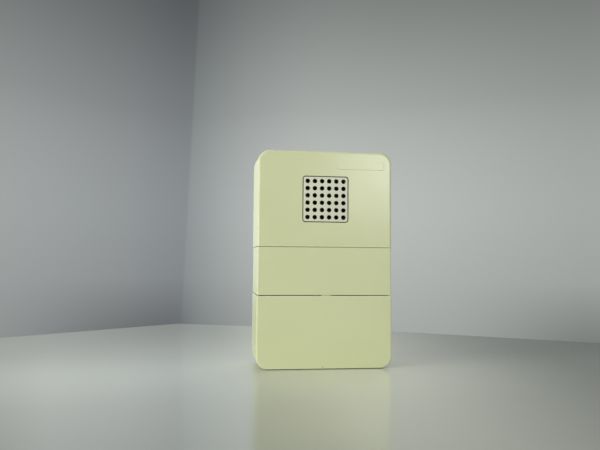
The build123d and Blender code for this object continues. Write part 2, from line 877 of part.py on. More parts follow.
def make_battery_holder():
    """An open tray with dividers, slots for the solder tabs, and an ear at each side."""
    y_top = y_plate - holder_high
    z_low = z_cells - holder_wall
    z_high = z_cells_top + holder_wall
    x_low = holder_x - holder_half
    x_high = holder_x + holder_half
    tray = block(x_low, x_high, y_top, y_plate, z_low, z_high)
    x_low += holder_wall
    x_high -= holder_wall
    tray -= block(x_low, x_high, y_top - 1, y_plate - holder_floor, z_cells, z_cells_top)
    for i in range(cell_count - 1):
        x = (cell_places[i] + cell_places[i + 1]) / 2
        half = divider_thick / 2
        y_rib = y_plate - holder_floor - divider_high
        y_root = y_plate - holder_floor / 2
        short = spring_room + 2 * contact_thick
        tray += block(x - half, x + half, y_rib, y_root, z_cells + short, z_cells_top - short)
    for x, z in ear_places():
        ear_in = holder_wall if x < holder_x else -holder_wall
        near = x - ear_long / 2 + min(ear_in, 0)
        far = x + ear_long / 2 + max(ear_in, 0)
        tray += block(near, far, y_plate - ear_thick, y_plate, z - ear_tall / 2, z + ear_tall / 2)
        tray -= rod(x, z, y_plate - 2 * ear_thick, y_plate + 1, board_screw_r + hole_gap)
    for x in lead_tabs():
        half = tab_wide / 2 + fit_gap
        thick = contact_thick / 2 + fit_gap
        tray -= block(x - half, x + half, y_tab - thick, y_tab + thick, z_cells_top - 1, z_high + 1)
    return tray


def make_holder_screws():
    length = ear_thick + plate_thick - fit_gap
    y_seat = y_plate - ear_thick
    return [
        pan_screw(x, z, y_seat, board_screw_r, length, board_head_r, board_head_high, 1)
        for x, z in ear_places()
    ]


def nub_up(i):
    """Cells stand head to tail, so every other one has its nub upwards."""
    return i % 2 == 0


def make_cell(i):
    x = cell_places[i]
    if nub_up(i):
        z_nub = z_cells_top - contact_thick - contact_gap
        z_low = z_nub - nub_high - cell_body
        z_end = z_nub - nub_high / 2
    else:
        z_nub = z_cells + contact_thick + contact_gap
        z_low = z_nub + nub_high
        z_end = z_nub + nub_high / 2
    body = Pos(x, y_cells, z_low + cell_body / 2) * Cylinder(cell_r, cell_body)
    body = fillet(body.edges().filter_by(GeomType.CIRCLE), 0.6)
    return body + Pos(x, y_cells, z_end) * Cylinder(nub_r, nub_high)


def make_contacts():
    """Five strips: each joins two cells, or ends the row with a solder tab."""
    half = contact_wide / 2
    span = cell_r - 1.0
    strips = []
    for i in range(0, cell_count - 1, 2):
        x_low, x_high = cell_places[i] - span, cell_places[i + 1] + span
        strips.append(block(x_low, x_high, y_cells - half, y_cells + half, z_cells, z_cells + contact_thick))
    z_low = z_cells_top - contact_thick
    for i in range(1, cell_count - 2, 2):
        x_low, x_high = cell_places[i] - span, cell_places[i + 1] + span
        strips.append(block(x_low, x_high, y_cells - half, y_cells + half, z_low, z_cells_top))
    for x in lead_tabs():
        strip = block(x - span, x + span, y_cells - half, y_cells + half, z_low, z_cells_top)
        thick = contact_thick / 2
        z_tab = z_cells_top + holder_wall + tab_long
        strip += block(x - tab_wide / 2, x + tab_wide / 2, y_tab - thick, y_tab + thick, z_low, z_tab)
        strips.append(strip)
    return strips


def coil_point(turn, height):
    """Point and direction on the tapering spring after some turns, from its base."""
    share = turn / spring_turns
    radius = spring_base_r + (spring_top_r - spring_base_r) * share
    angle = 2 * math.pi * turn
    point = Vector(radius * math.cos(angle), radius * math.sin(angle), height * share)
    draw_in = (spring_top_r - spring_base_r) / spring_turns
    around = 2 * math.pi * radius
    way = Vector(
        draw_in * math.cos(angle) - around * math.sin(angle),
        draw_in * math.sin(angle) + around * math.cos(angle),
        height / spring_turns,
    )
    return point, way.normalized()


def biarc(start, start_way, end, end_way):
    """Two arcs that meet smoothly, from one point and direction to the next."""
    chord = end - start
    ways = start_way + end_way
    a = ways.dot(ways) - 4
    b = -2 * chord.dot(ways)
    c = chord.dot(chord)
    reach = (-b - math.sqrt(b * b - 4 * a * c)) / (2 * a)
    joint = (start + start_way * reach + end - end_way * reach) * 0.5
    first = TangentArc(start, joint, tangent=start_way)
    second = TangentArc(joint, end, tangent=first % 1)
    return [first, second]


def make_spring(height):
    quarters = round(spring_turns * 4)
    arcs = []
    for i in range(quarters):
        start, start_way = coil_point(i / 4, height)
        end, end_way = coil_point((i + 1) / 4, height)
        arcs += biarc(start, start_way, end, end_way)
    path = Wire([arc.edge() for arc in arcs])
    start, way = coil_point(0, height)
    return sweep(Plane(origin=start, z_dir=way) * Circle(spring_wire_r), path=path)


def spring_gap(height):
    """Least clear gap between neighbouring turns of the spring, measured on points."""
    steps = 48
    count = round(spring_turns * steps)
    points = [coil_point(i / steps, height)[0] for i in range(count + 1)]
    apart = [(a - b).length for i, a in enumerate(points) for b in points[i + steps // 2:]]
    return min(apart) - 2 * spring_wire_r


def make_springs():
    """One tapering spring behind each cell's flat end."""
    room = spring_room - 2 * contact_gap
    height = room - 2 * spring_wire_r - 2 * contact_gap
    print("spring least gap to itself", round(spring_gap(height), 2))
    coil = make_spring(height)
    springs = []
    for i, x in enumerate(cell_places):
        seat = contact_thick + contact_gap + spring_wire_r
        if nub_up(i):
            springs.append(Pos(x, y_cells, z_cells + seat) * coil)
        else:
            springs.append(Pos(x, y_cells, z_cells_top - seat) * Rot(180, 0, 0) * coil)
    return springs


# Leads
def lead(name, points):
    """An insulated wire of straight runs joined by arcs, as large as the runs allow."""
    points = [Vector(*point) for point in points]
    runs = [b - a for a, b in zip(points, points[1:])]
    radii = []
    for before, after in zip(runs, runs[1:]):
        half_turn = math.radians(before.get_angle(after)) / 2
        radii.append(0.45 * min(before.length, after.length) / math.tan(half_turn))
    path = FilletPolyline(*points, radius=radii)
    tube = sweep(Plane(origin=points[0], z_dir=runs[0]) * Circle(lead_r), path=path)
    share = tube.volume / (math.pi * lead_r**2 * path.length)
    print(name, "radii", [round(r, 1) for r in radii], "volume share", round(share, 3))
    return tube


def make_speaker_leads():
    """Two wires from the solder strip down to the board's top edge."""
    leads = []
    middle = (flange_inner_r + speaker_r) / 2
    for side in (-1, 1):
        eyelet = at_rim(strip_angle) * Pos(middle, 1.5 * strip_thick, side * strip_long / 4)
        start = eyelet.position
        end_x = start.X + 4 + side
        end_z = z_board_top - hole_edge
        leads.append(
            lead(
                "speaker lead",
                [
                    start,
                    (start.X, start.Y + 6, start.Z),
                    (start.X + 1.5, start.Y + 12, start.Z - 4),
                    (end_x - 1, y_parts - 14, end_z + 5),
                    (end_x, y_parts - 7, end_z),
                    (end_x, y_parts, end_z),
                ],
            )
        )
    return leads


def make_battery_leads():
    """Two wires from the solder tabs up to the board."""
    leads = []
    y_start = y_tab - contact_thick / 2 - lead_r
    z_start = z_cells_top + holder_wall + fit_gap
    for x in lead_tabs():
        x_end = x - battery_lead_shift
        z_end = z_start + 10
        leads.append(
            lead(
                "battery lead",
                [
                    (x, y_start, z_start),
                    (x - 1.4, y_start - 1.8, z_start + 4.6),
                    (x_end, y_parts - 6.4, z_end),
                    (x_end, y_parts, z_end),
                ],
            )
        )
    return leads


washer, magnet, pole = make_pole_parts()
pieces = {
    "back_plate": make_back_plate(),
    "upper_cover": make_upper_cover(),
    "centre_band": make_centre_band(),
    "lower_cover": make_lower_cover(),
    "casing_screws": make_casing_screws(),
    "grille_plate": make_grille_plate(),
    "grille_cloth": make_grille_cloth(),
    "speaker_gasket": make_speaker_gasket(),
    "speaker_basket": make_speaker_basket(),
    "speaker_washer": washer,
    "speaker_magnet": magnet,
    "speaker_pole": pole,
    "speaker_cone": make_speaker_cone(),
    "voice_coil": make_voice_coil(),
    "speaker_dust_cap": make_dust_cap(),
    "speaker_surround": make_surround(),
    "speaker_spider": make_spider(),
    "speaker_solder_strip": make_terminal_strip(),
    "speaker_clips": make_clips(),
    "speaker_clip_screws": make_clip_screws(),
    "circuit_board": make_circuit_board(),
    "board_screws": make_board_screws(),
    "melody_chip": make_melody_chip(),
    "capacitors": make_capacitors(),
    "resistors": make_resistors(),
    "transistors": make_transistors(),
    "volume_control": make_volume_pot(),
    "volume_wheel": make_volume_wheel(),
    "tune_switch_body": make_switch_body(),
    "tune_switch_lever": make_switch_lever(),
    "terminal_block": make_terminal_block(),
    "terminal_clamps": make_terminal_clamps(),
    "terminal_screws": make_terminal_screws(),
    "battery_holder": make_battery_holder(),
    "holder_screws": make_holder_screws(),
    "battery_contacts": make_contacts(),
    "battery_springs": make_springs(),
    "speaker_leads": make_speaker_leads(),
    "battery_leads": make_battery_leads(),
}
for number in range(cell_count):
    pieces[f"cell_{number + 1}"] = make_cell(number)

os.makedirs("parts", exist_ok=True)
for node, shape in pieces.items():
    solid = Compound(children=list(shape)) if isinstance(shape, list) else shape
    export_step(solid, f"parts/{node}.step")
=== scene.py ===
import math
import random

import bmesh
import bpy
from mathutils import Matrix, Vector


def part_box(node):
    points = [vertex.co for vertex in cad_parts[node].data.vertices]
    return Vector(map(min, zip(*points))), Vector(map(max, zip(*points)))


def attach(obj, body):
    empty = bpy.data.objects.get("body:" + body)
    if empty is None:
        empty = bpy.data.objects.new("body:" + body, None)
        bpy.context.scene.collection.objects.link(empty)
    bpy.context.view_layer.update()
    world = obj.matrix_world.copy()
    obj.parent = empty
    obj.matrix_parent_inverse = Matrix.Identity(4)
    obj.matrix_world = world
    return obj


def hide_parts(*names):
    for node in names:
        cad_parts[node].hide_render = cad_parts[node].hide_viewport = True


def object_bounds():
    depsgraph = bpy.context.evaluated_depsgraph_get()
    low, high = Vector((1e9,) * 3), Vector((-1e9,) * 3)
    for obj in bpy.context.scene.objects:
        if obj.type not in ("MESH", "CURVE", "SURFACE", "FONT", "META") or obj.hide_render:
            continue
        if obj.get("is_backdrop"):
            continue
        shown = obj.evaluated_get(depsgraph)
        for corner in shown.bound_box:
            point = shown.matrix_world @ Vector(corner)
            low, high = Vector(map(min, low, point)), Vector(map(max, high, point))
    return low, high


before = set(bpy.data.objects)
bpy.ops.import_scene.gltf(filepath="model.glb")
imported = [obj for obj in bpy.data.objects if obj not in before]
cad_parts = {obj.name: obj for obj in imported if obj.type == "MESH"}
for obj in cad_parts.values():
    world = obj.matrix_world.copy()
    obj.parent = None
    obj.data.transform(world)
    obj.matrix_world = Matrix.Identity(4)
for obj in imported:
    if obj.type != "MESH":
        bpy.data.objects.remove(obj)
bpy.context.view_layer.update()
mm = 0.001


# The camera stands in front of the chime at half its height, a little to the left, and looks
# slightly up. Its lens and place come from the straight edges and the grille's holes in the photograph.
lens_pixels = 580
image_width = 600
sensor_width = 36
eye = Vector((-84.4, -553, -1.8)) * mm
pitch, roll, yaw = math.radians(3.44), math.radians(-0.465), math.radians(-6.95)

camera = bpy.data.objects.new("camera", bpy.data.cameras.new("camera"))
bpy.context.scene.collection.objects.link(camera)
camera.data.sensor_width = sensor_width
camera.data.lens = sensor_width * lens_pixels / image_width
camera.data.clip_start = 0.01
look = Matrix.Rotation(yaw, 3, "Z") @ Matrix.Rotation(pitch, 3, "X") @ Matrix.Rotation(roll, 3, "Y")
right, ahead, up = look.col
camera.matrix_world = Matrix.Translation(eye) @ Matrix((right, up, -ahead)).transposed().to_4x4()
bpy.context.scene.camera = camera
bpy.context.scene.view_settings.view_transform = "Standard"


# The table is a white gloss sheet that mirrors the chime softly, and plain grey-blue walls stand
# behind it. Both are painted board, and neither belongs to the chime. Light and shade are painted
# into the table's colour, and the walls glow with painted light and shade instead of being lit.
def add(tree, kind, sockets=None, **settings):
    """One shader node; sockets holds numbers, colours or the outputs that feed its inputs."""
    node = tree.nodes.new("ShaderNode" + kind)
    for name, value in settings.items():
        setattr(node, name, value)
    for name, value in (sockets or {}).items():
        if isinstance(value, bpy.types.NodeSocket):
            tree.links.new(value, node.inputs[name])
        else:
            node.inputs[name].default_value = value
    return node


def work_out(tree, operation, *values, clamp=False):
    """The result of one sum on numbers or sockets."""
    return add(tree, "Math", dict(enumerate(values)), operation=operation, use_clamp=clamp).outputs[0]


def three_of(tree, vector):
    """The three numbers of a vector."""
    return add(tree, "SeparateXYZ", {0: vector}).outputs


def fit(tree, value, low, high, to_low=0.0, to_high=1.0):
    """A value moved from one range to another and held inside it."""
    return add(tree, "MapRange", {0: value, 1: low, 2: high, 3: to_low, 4: to_high}).outputs[0]


def between(tree, share, low, high):
    """The value at a share, from 0 to 1, of the way between two limits."""
    return fit(tree, share, 0.0, 1.0, low, high)


def noise(tree, place, scale, detail, roughness=0.5):
    """Soft random spots from 0 to 1; a larger scale makes them smaller."""
    sockets = {"Vector": place, "Scale": scale, "Detail": detail, "Roughness": roughness}
    return add(tree, "TexNoise", sockets).outputs[0]


def blend(tree, share, first, second, way="MIX"):
    """Two colours mixed by a share."""
    sockets = {0: share, 6: first, 7: second}
    return add(tree, "Mix", sockets, data_type="RGBA", blend_type=way).outputs[2]


def paint(red, green, blue):
    """A colour as the eye names it, 0 to 255, for a shader."""
    parts = [part / 255 for part in (red, green, blue)]
    return tuple(p / 12.92 if p < 0.04045 else ((p + 0.055) / 1.055) ** 2.4 for p in parts) + (1,)


def greys(stops):
    """Plain greys, 0 to 255, as the stops of a ramp."""
    return [(at, (grey, grey, grey)) for at, grey in stops]


def shades_along(tree, share, stops):
    """A ramp of named colours along a share from 0 to 1."""
    ramp = add(tree, "ValToRGB", {0: share})
    ramp.color_ramp.interpolation = "B_SPLINE"
    marks = ramp.color_ramp.elements
    for _ in stops[2:]:
        marks.new(0.5)
    for mark, (at, colour) in zip(marks, stops):
        mark.position = at
        mark.color = paint(*colour)
    return ramp.outputs[0]


def new_finish(name, **sockets):
    """A material with its Principled shader and the place on the piece that its pattern reads."""
    material = bpy.data.materials.new(name)
    material.use_nodes = True
    tree = material.node_tree
    shader = tree.nodes["Principled BSDF"]
    for label, value in sockets.items():
        shader.inputs[label.replace("_", " ")].default_value = value
    return material, tree, shader, add(tree, "TexCoord").outputs["Object"]


def feed(tree, shader, colour, gloss=None, height=None, depth=0.0):
    """Feeds a shader its colour, its roughness, and bumps from a height that is depth deep."""
    tree.links.new(colour, shader.inputs["Base Color"])
    if gloss is not None:
        tree.links.new(gloss, shader.inputs["Roughness"])
    if height is not None:
        bump = add(tree, "Bump", {"Height": height, "Distance": depth, "Strength": 1.0})
        tree.links.new(bump.outputs[0], shader.inputs["Normal"])


sharp_from = math.radians(35)


def as_piece(made, name, material, smooth=True):
    """Turns a finished bmesh into an object at the origin with its material."""
    mesh = bpy.data.meshes.new(name)
    made.to_mesh(mesh)
    made.free()
    mesh.materials.append(material)
    for face in mesh.polygons:
        face.use_smooth = smooth
    if smooth:
        mesh.set_sharp_from_angle(angle=sharp_from)
    piece = bpy.data.objects.new(name, mesh)
    bpy.context.scene.collection.objects.link(piece)
    return piece


# The table's colour is painted light and shade: across it, lighter at the left, darker to the right,
# with a pale strip under the chime as a painted reflection, times greys that run away from the
# camera, painted brightest just in front of the chime.
z_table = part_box("lower_cover")[0].z
table_size = 6.0
table_left, table_right, table_near, table_far = -0.25, 0.24, -0.3, 0.25
table_painted_light_across = [
    (0.0, (200, 204, 194)), (0.28, (176, 180, 170)), (0.38, (202, 206, 194)),
    (0.55, (244, 246, 226)), (0.8, (164, 167, 158)), (1.0, (122, 125, 117)),
]
table_painted_light_ahead = [(0.0, 194), (0.25, 216), (0.44, 255), (0.6, 232), (1.0, 230)]

board = bmesh.new()
bmesh.ops.create_grid(board, x_segments=1, y_segments=1, size=table_size / 2)
bmesh.ops.translate(board, verts=board.verts, vec=(0, 0, z_table))
material, tree, shader, place = new_finish("table_gloss", IOR=1.6)
table_place = three_of(tree, place)
across_table = shades_along(tree, fit(tree, table_place[0], table_left, table_right), table_painted_light_across)
ahead_table = shades_along(tree, fit(tree, table_place[1], table_near, table_far), greys(table_painted_light_ahead))
shade = blend(tree, 1.0, across_table, ahead_table, "MULTIPLY")
feed(tree, shader, shade, between(tree, noise(tree, place, 7, 3), 0.12, 0.2))
table = as_piece(board, "table", material)
table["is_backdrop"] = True

# The walls glow with painted light and shade: their shades run across the room, change at the
# leaning corner, are painted darker at the foot and darkest at the top. The gains brighten them in
# mirrors only, more the higher they are, in a band at the left where a painted window's light falls.
wall_tall = 1.6
wall_corners = [(-0.95, 0.123), (-0.178, 0.86), (0.135, 0.785), (1.3, 0.29)]
wall_left, wall_right, wall_shaded_to = -0.36, 0.34, 0.4
left_across = [(0.0, (165, 169, 168)), (0.2, (146, 150, 152)), (0.3, (137, 142, 145))]
right_across = [
    (0.27, (130, 136, 139)), (0.42, (176, 181, 180)), (0.62, (197, 202, 198)), (1.0, (160, 164, 161)),
]
corner_at, corner_lean, corner_half = 0.2965, 0.026, 0.003
foot_shade_across = [
    (0.0, 255), (0.12, 226), (0.27, 205), (0.33, 238), (0.6, 255), (0.8, 255), (0.9, 240), (1.0, 205),
]
foot_to = 0.14
wall_shade_up = [(0.0, 226), (0.25, 255), (0.42, 253), (0.62, 231), (1.0, 146)]
window_across = [(0.0, 90), (0.08, 255), (0.34, 255), (0.6, 0)]
foot_gain, low_wall_gain, high_wall_gain = 0.4, 1.3, 2.0
low_gain_from, low_gain_to, high_gain_from, high_gain_to = 0.03, 0.11, 0.1, 0.5


def only(geometry, kind):
    """The vertices or the edges among what a bmesh operator gives back."""
    return [part for part in geometry if isinstance(part, kind)]


level_ahead = Vector((ahead.x, ahead.y, 0)).normalized()
level_right = Vector((level_ahead.y, -level_ahead.x, 0))
sheet = bmesh.new()
feet = [sheet.verts.new(eye + level_right * a + level_ahead * b) for a, b in wall_corners]
for foot in feet:
    foot.co.z = z_table
edges = [sheet.edges.new(pair) for pair in zip(feet, feet[1:])]
raised = bmesh.ops.extrude_edge_only(sheet, edges=edges)["geom"]
bmesh.ops.translate(sheet, verts=only(raised, bmesh.types.BMVert), vec=(0, 0, wall_tall))
for wall in sheet.faces:
    if wall.normal.dot(eye - wall.calc_center_median()) < 0:
        wall.normal_flip()
material, tree, shader, place = new_finish("wall_glow", Roughness=0.9)
room_place = three_of(tree, place)
across_room = fit(tree, room_place[0], wall_left, wall_right)
up_room = fit(tree, room_place[2], z_table, wall_shaded_to)
leaned = work_out(tree, "MULTIPLY_ADD", up_room, -corner_lean, across_room)
past_corner = fit(tree, leaned, corner_at - corner_half, corner_at + corner_half)
left_shade = shades_along(tree, across_room, left_across)
shade = blend(tree, past_corner, left_shade, shades_along(tree, across_room, right_across))
foot_shade = shades_along(tree, across_room, greys(foot_shade_across))
shade = blend(tree, fit(tree, up_room, 0.0, foot_to, 1.0, 0.0), shade, foot_shade, "MULTIPLY")
shade = blend(tree, 1.0, shade, shades_along(tree, up_room, greys(wall_shade_up)), "MULTIPLY")
low_gain = fit(tree, up_room, low_gain_from, low_gain_to, foot_gain, low_wall_gain)
rise = fit(tree, up_room, high_gain_from, high_gain_to, 0.0, high_wall_gain - low_wall_gain)
window = shades_along(tree, across_room, greys(window_across))
gain = work_out(tree, "MULTIPLY", work_out(tree, "ADD", low_gain, rise), window)
mirrored = add(tree, "LightPath").outputs["Is Glossy Ray"]
strength = work_out(tree, "MULTIPLY_ADD", mirrored, gain, 1.0)
glow = add(tree, "Emission", {"Color": shade, "Strength": strength})
clear = add(tree, "BsdfTransparent")
facing = add(tree, "NewGeometry").outputs["Backfacing"]
shown = add(tree, "MixShader", {0: facing, 1: glow.outputs[0], 2: clear.outputs[0]})
tree.links.new(shown.outputs[0], tree.nodes["Material Output"].inputs[0])
walls = as_piece(sheet, "walls", material, smooth=False)
walls.visible_shadow = False
walls.visible_diffuse = False
walls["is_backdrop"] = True


# Soft boxes light the chime: a large one from the left, a small one that glosses its upper right
# corner, weak ones in front, at the right and overhead, and one behind. Three of them are kept off
# the table, which would mirror them as bright spots. The room's own light fills the rest.
room_colour = paint(236, 240, 244)
room_strength = 0.42
off_table = bpy.data.collections.new("off_table")
off_table.objects.link(table)
off_table.collection_objects[0].light_linking.link_state = "EXCLUDE"


def soft_box(name, position, size, power, mirrored=True, flagged=False):
    """A lamp that faces the chime; mirrored shows it in gloss, and flagged keeps its light off the table."""
    lamp = bpy.data.lights.new(name, "AREA")
    lamp.shape = "RECTANGLE"
    lamp.size, lamp.size_y = size
    lamp.energy = power
    holder = bpy.data.objects.new(name, lamp)
    bpy.context.scene.collection.objects.link(holder)
    holder.visible_glossy = mirrored
    if flagged:
        holder.light_linking.receiver_collection = off_table
    holder.location = position
    holder.rotation_euler = (-Vector(position)).to_track_quat("-Z", "Y").to_euler()


soft_box("left_box", (-1.188, -0.529, 0.05), (0.7, 0.7), 22.3, mirrored=False)
soft_box("gloss_box", (0.381, -1.105, 0.27), (0.3, 0.3), 2.15, flagged=True)
soft_box("right_box", (1.2, -0.6, 0.15), (0.7, 0.7), 3.9, flagged=True)
soft_box("front_box", (-0.85, -0.8, 0.02), (0.16, 0.5), 3.0, flagged=True)
soft_box("top_box", (0.0, 0.12, 0.95), (0.7, 0.7), 2.2)
soft_box("back_box", (0.5, 1.1, 0.6), (0.8, 0.8), 5.0, mirrored=False)
room = bpy.data.worlds.new("room")
bpy.context.scene.world = room
room.use_nodes = True
room.node_tree.nodes["Background"].inputs["Color"].default_value = room_colour
room.node_tree.nodes["Background"].inputs["Strength"].default_value = room_strength


# The casing is three mouldings in ivory ABS: the upper cover, the band and the battery cover.
# The moulds leave a fine grain, and age has yellowed the plastic a little and rubbed its edges.
# Those edges are painted pale enough to be partly a painted highlight as well as wear.
def new_group(name, takes, gives):
    """A shader node group, with its inputs as label, kind and value, and its outputs as label and kind."""
    group = bpy.data.node_groups.new(name, "ShaderNodeTree")
    for label, kind, value in takes:
        socket = group.interface.new_socket(label, in_out="INPUT", socket_type="NodeSocket" + kind)
        if value is not None:
            socket.default_value = value
    for label, kind in gives:
        group.interface.new_socket(label, in_out="OUTPUT", socket_type="NodeSocket" + kind)
    return group, group.nodes.new("NodeGroupInput").outputs, group.nodes.new("NodeGroupOutput").inputs


def use_group(tree, group, **sockets):
    """One node of a group in a material, with its own values."""
    node = tree.nodes.new("ShaderNodeGroup")
    node.node_tree = group
    for label, value in sockets.items():
        socket = node.inputs[label.replace("_", " ")]
        if isinstance(value, bpy.types.NodeSocket):
            tree.links.new(value, socket)
        else:
            socket.default_value = value
    return node.outputs


def work_out_vector(tree, operation, *values):
    """The result of one sum on vectors: a number for a length or a distance, or else a vector."""
    outputs = add(tree, "VectorMath", dict(enumerate(values)), operation=operation).outputs
    return outputs["Value" if operation in ("LENGTH", "DISTANCE") else "Vector"]


def away(tree, place, middle):
    """How far a place lies from a middle along each axis."""
    return work_out_vector(tree, "ABSOLUTE", work_out_vector(tree, "SUBTRACT", place, middle))


# Grain is a height from two sizes of noise, and mottle a slow change of shade.
grain, takes, gives = new_group(
    "grain",
    [("Place", "Vector", None), ("Fineness", "Float", 1500.0), ("Waves", "Float", 160.0),
     ("Wave share", "Float", 0.4), ("Mottle size", "Float", 18.0)],
    [("Height", "Float"), ("Mottle", "Float")],
)
fine = noise(grain, takes["Place"], takes["Fineness"], 2)
waves = noise(grain, takes["Place"], takes["Waves"], 1)
height = add(grain, "Mix", {0: takes["Wave share"], 2: fine, 3: waves}).outputs[0]
grain.links.new(height, gives["Height"])
slow = noise(grain, takes["Place"], takes["Mottle size"], 2, 0.45)
mottle = add(grain, "MapRange", {0: slow, 1: 0.2, 2: 0.8}, interpolation_type="SMOOTHSTEP")
grain.links.new(mottle.outputs[0], gives["Mottle"])

# Rub marks the edges of a boxy piece, where two of its faces meet, broken up by noise. On the
# ivory covers the pale colour there is partly a painted highlight.
rub_and_highlight, takes, gives = new_group(
    "rubbed_and_lit_edges",
    [("Place", "Vector", None), ("Centre", "Vector", None), ("Half", "Vector", None),
     ("Width", "Float", 0.001), ("Break up", "Float", 400.0)],
    [("Mask", "Float")],
)
past = work_out_vector(rub_and_highlight, "SUBTRACT", away(rub_and_highlight, takes["Place"], takes["Centre"]), takes["Half"])
near = [
    work_out(rub_and_highlight, "ADD", work_out(rub_and_highlight, "DIVIDE", side, takes["Width"]), 1.0, clamp=True)
    for side in three_of(rub_and_highlight, past)
]
pairs = [work_out(rub_and_highlight, "MINIMUM", near[i], near[i - 1]) for i in range(3)]
edge = work_out(rub_and_highlight, "MAXIMUM", work_out(rub_and_highlight, "MAXIMUM", pairs[0], pairs[1]), pairs[2])
bits = fit(rub_and_highlight, noise(rub_and_highlight, takes["Place"], takes["Break up"], 3), 0.35, 0.65)
rub_and_highlight.links.new(work_out(rub_and_highlight, "MULTIPLY", edge, bits), gives["Mask"])

# Dust settles on faces that look up, in patches.
dust, takes, gives = new_group(
    "settled_dust", [("Place", "Vector", None), ("Amount", "Float", 0.2)], [("Mask", "Float")]
)
upward = fit(dust, three_of(dust, add(dust, "NewGeometry").outputs["Normal"])[2], 0.3, 0.95)
patches = fit(dust, noise(dust, takes["Place"], 420, 6), 0.35, 0.7)
settled = work_out(dust, "MULTIPLY", work_out(dust, "MULTIPLY", upward, patches), takes["Amount"])
dust.links.new(settled, gives["Mask"])

dust_grey = paint(150, 146, 134)
speck_brown = paint(96, 84, 60)
# Painted shade: dark brown in recesses, grooves and at the foot, olive round the grille plate.
painted_shade_brown = paint(26, 21, 6)
seam_shade_olive = paint(78, 79, 12)
rub_and_highlight_width = 1.6 * mm
shade_rim = 0.15 * mm


def speck_mask(tree, place, spot, radius):
    """A round spot with a soft rim."""
    return fit(tree, work_out_vector(tree, "DISTANCE", place, spot), radius, 0.4 * radius)


def painted_shade_mask(tree, place, middle, reaches):
    """All that lies in a box, which has a thin soft rim, where shade is painted."""
    sides = three_of(tree, away(tree, place, middle))
    held = [fit(tree, side, reach, reach - shade_rim) for side, reach in zip(sides, reaches)]
    return work_out(tree, "MULTIPLY", held[0], work_out(tree, "MULTIPLY", held[1], held[2]))


# Painted shade runs along this line.
def seam_shade_mask(tree, place, middle, half_side, corner, half_wide):
    """A line round a square with rounded corners, seen from the front and the same at any depth to 1 m."""
    straight = half_side - corner
    off = work_out_vector(tree, "SUBTRACT", away(tree, place, middle), (straight, 1, straight))
    off = work_out_vector(tree, "LENGTH", work_out_vector(tree, "MAXIMUM", off, (0, 0, 0)))
    gap = work_out(tree, "ABSOLUTE", work_out(tree, "SUBTRACT", off, corner))
    return fit(tree, gap, half_wide, 0.7 * half_wide)


def box_of(node):
    """Centre and half size of a CAD node."""
    low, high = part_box(node)
    return (low + high) / 2, (high - low) / 2


def moulded_finish(
    name, node, base, aged, wear_and_highlight, roughness, grain_depth, specks=(), grime=(), seam=None, **extra
):
    """Moulded plastic: mottled shade, rubbed edges, which on ivory are partly a painted highlight,
    settled dust, uneven gloss and a fine grain.

    Specks are (middle, radius) of brown specks, and each shade box is (middle, half size) of a box
    where shade is painted dark into the colour. The line round an inset plate is painted shade too:
    (middle, half side, corner radius, half width).
    """
    material, tree, shader, place = new_finish(name, **extra)
    centre, half = box_of(node)
    skin = use_group(tree, grain, Place=place)
    rubbed_and_lit = use_group(tree, rub_and_highlight, Place=place, Centre=centre, Half=half, Width=rub_and_highlight_width)["Mask"]
    dusty = use_group(tree, dust, Place=place)["Mask"]
    colour = blend(tree, skin["Mottle"], base, aged)
    colour = blend(tree, work_out(tree, "MULTIPLY", rubbed_and_lit, 0.5), colour, wear_and_highlight)
    for speck in specks:
        held = work_out(tree, "MULTIPLY", speck_mask(tree, place, *speck), 0.8)
        colour = blend(tree, held, colour, speck_brown)
    colour = blend(tree, dusty, colour, dust_grey)
    # Painted shade: dark in the boxes, and olive along the line round an inset plate.
    for dirt_and_shade in grime:
        colour = blend(tree, painted_shade_mask(tree, place, *dirt_and_shade), colour, painted_shade_brown)
    if seam:
        colour = blend(tree, seam_shade_mask(tree, place, *seam), colour, seam_shade_olive)
    gloss = between(tree, skin["Mottle"], roughness - 0.03, roughness + 0.02)
    gloss = work_out(tree, "MULTIPLY_ADD", rubbed_and_lit, -0.08, gloss)
    gloss = work_out(tree, "MULTIPLY_ADD", dusty, 0.02, gloss, clamp=True)
    feed(tree, shader, colour, gloss, skin["Height"], grain_depth)
    return material


def dress(material, *nodes):
    """Gives a material to every slot of some CAD nodes."""
    for node in nodes:
        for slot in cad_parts[node].material_slots:
            slot.material = material


def shade_box_behind(front, half_deep, middle, half_wide, half_tall):
    """The box of painted shade that starts at a front plane: its middle and its half size."""
    return Vector((middle.x, front + half_deep, middle.z)), Vector((half_wide, half_deep, half_tall))


ivory = paint(196, 200, 158)
ivory_aged = paint(193, 196, 152)
# The worn colour is pale enough to be partly a painted highlight along the edges.
ivory_wear_and_highlight = paint(228, 231, 198)
cover_gloss, cover_grain = 0.245, 0.02 * mm
plastic_ior = 1.5
speck_r = 0.7 * mm
top_speck = Vector((-44.7, -46.4, 94.5)) * mm
foot_speck = Vector((-1.9, -46.8, -95.0)) * mm

# Behind the grille opening's rim the colour is painted dark as painted shade, and an olive line of
# painted shade runs where the plate meets the opening.
grille_middle, grille_half = box_of("grille_plate")
opening_half, half_deep = 20.7 * mm, 4 * mm
opening_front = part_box("grille_plate")[0].y + 0.1 * mm
opening_shade = shade_box_behind(opening_front, half_deep, grille_middle, opening_half, opening_half)
seam_half, seam_corner, seam_reach = 20.25 * mm, 2.35 * mm, 0.5 * mm
grille_seam_shade = (grille_middle, seam_half, seam_corner, seam_reach)

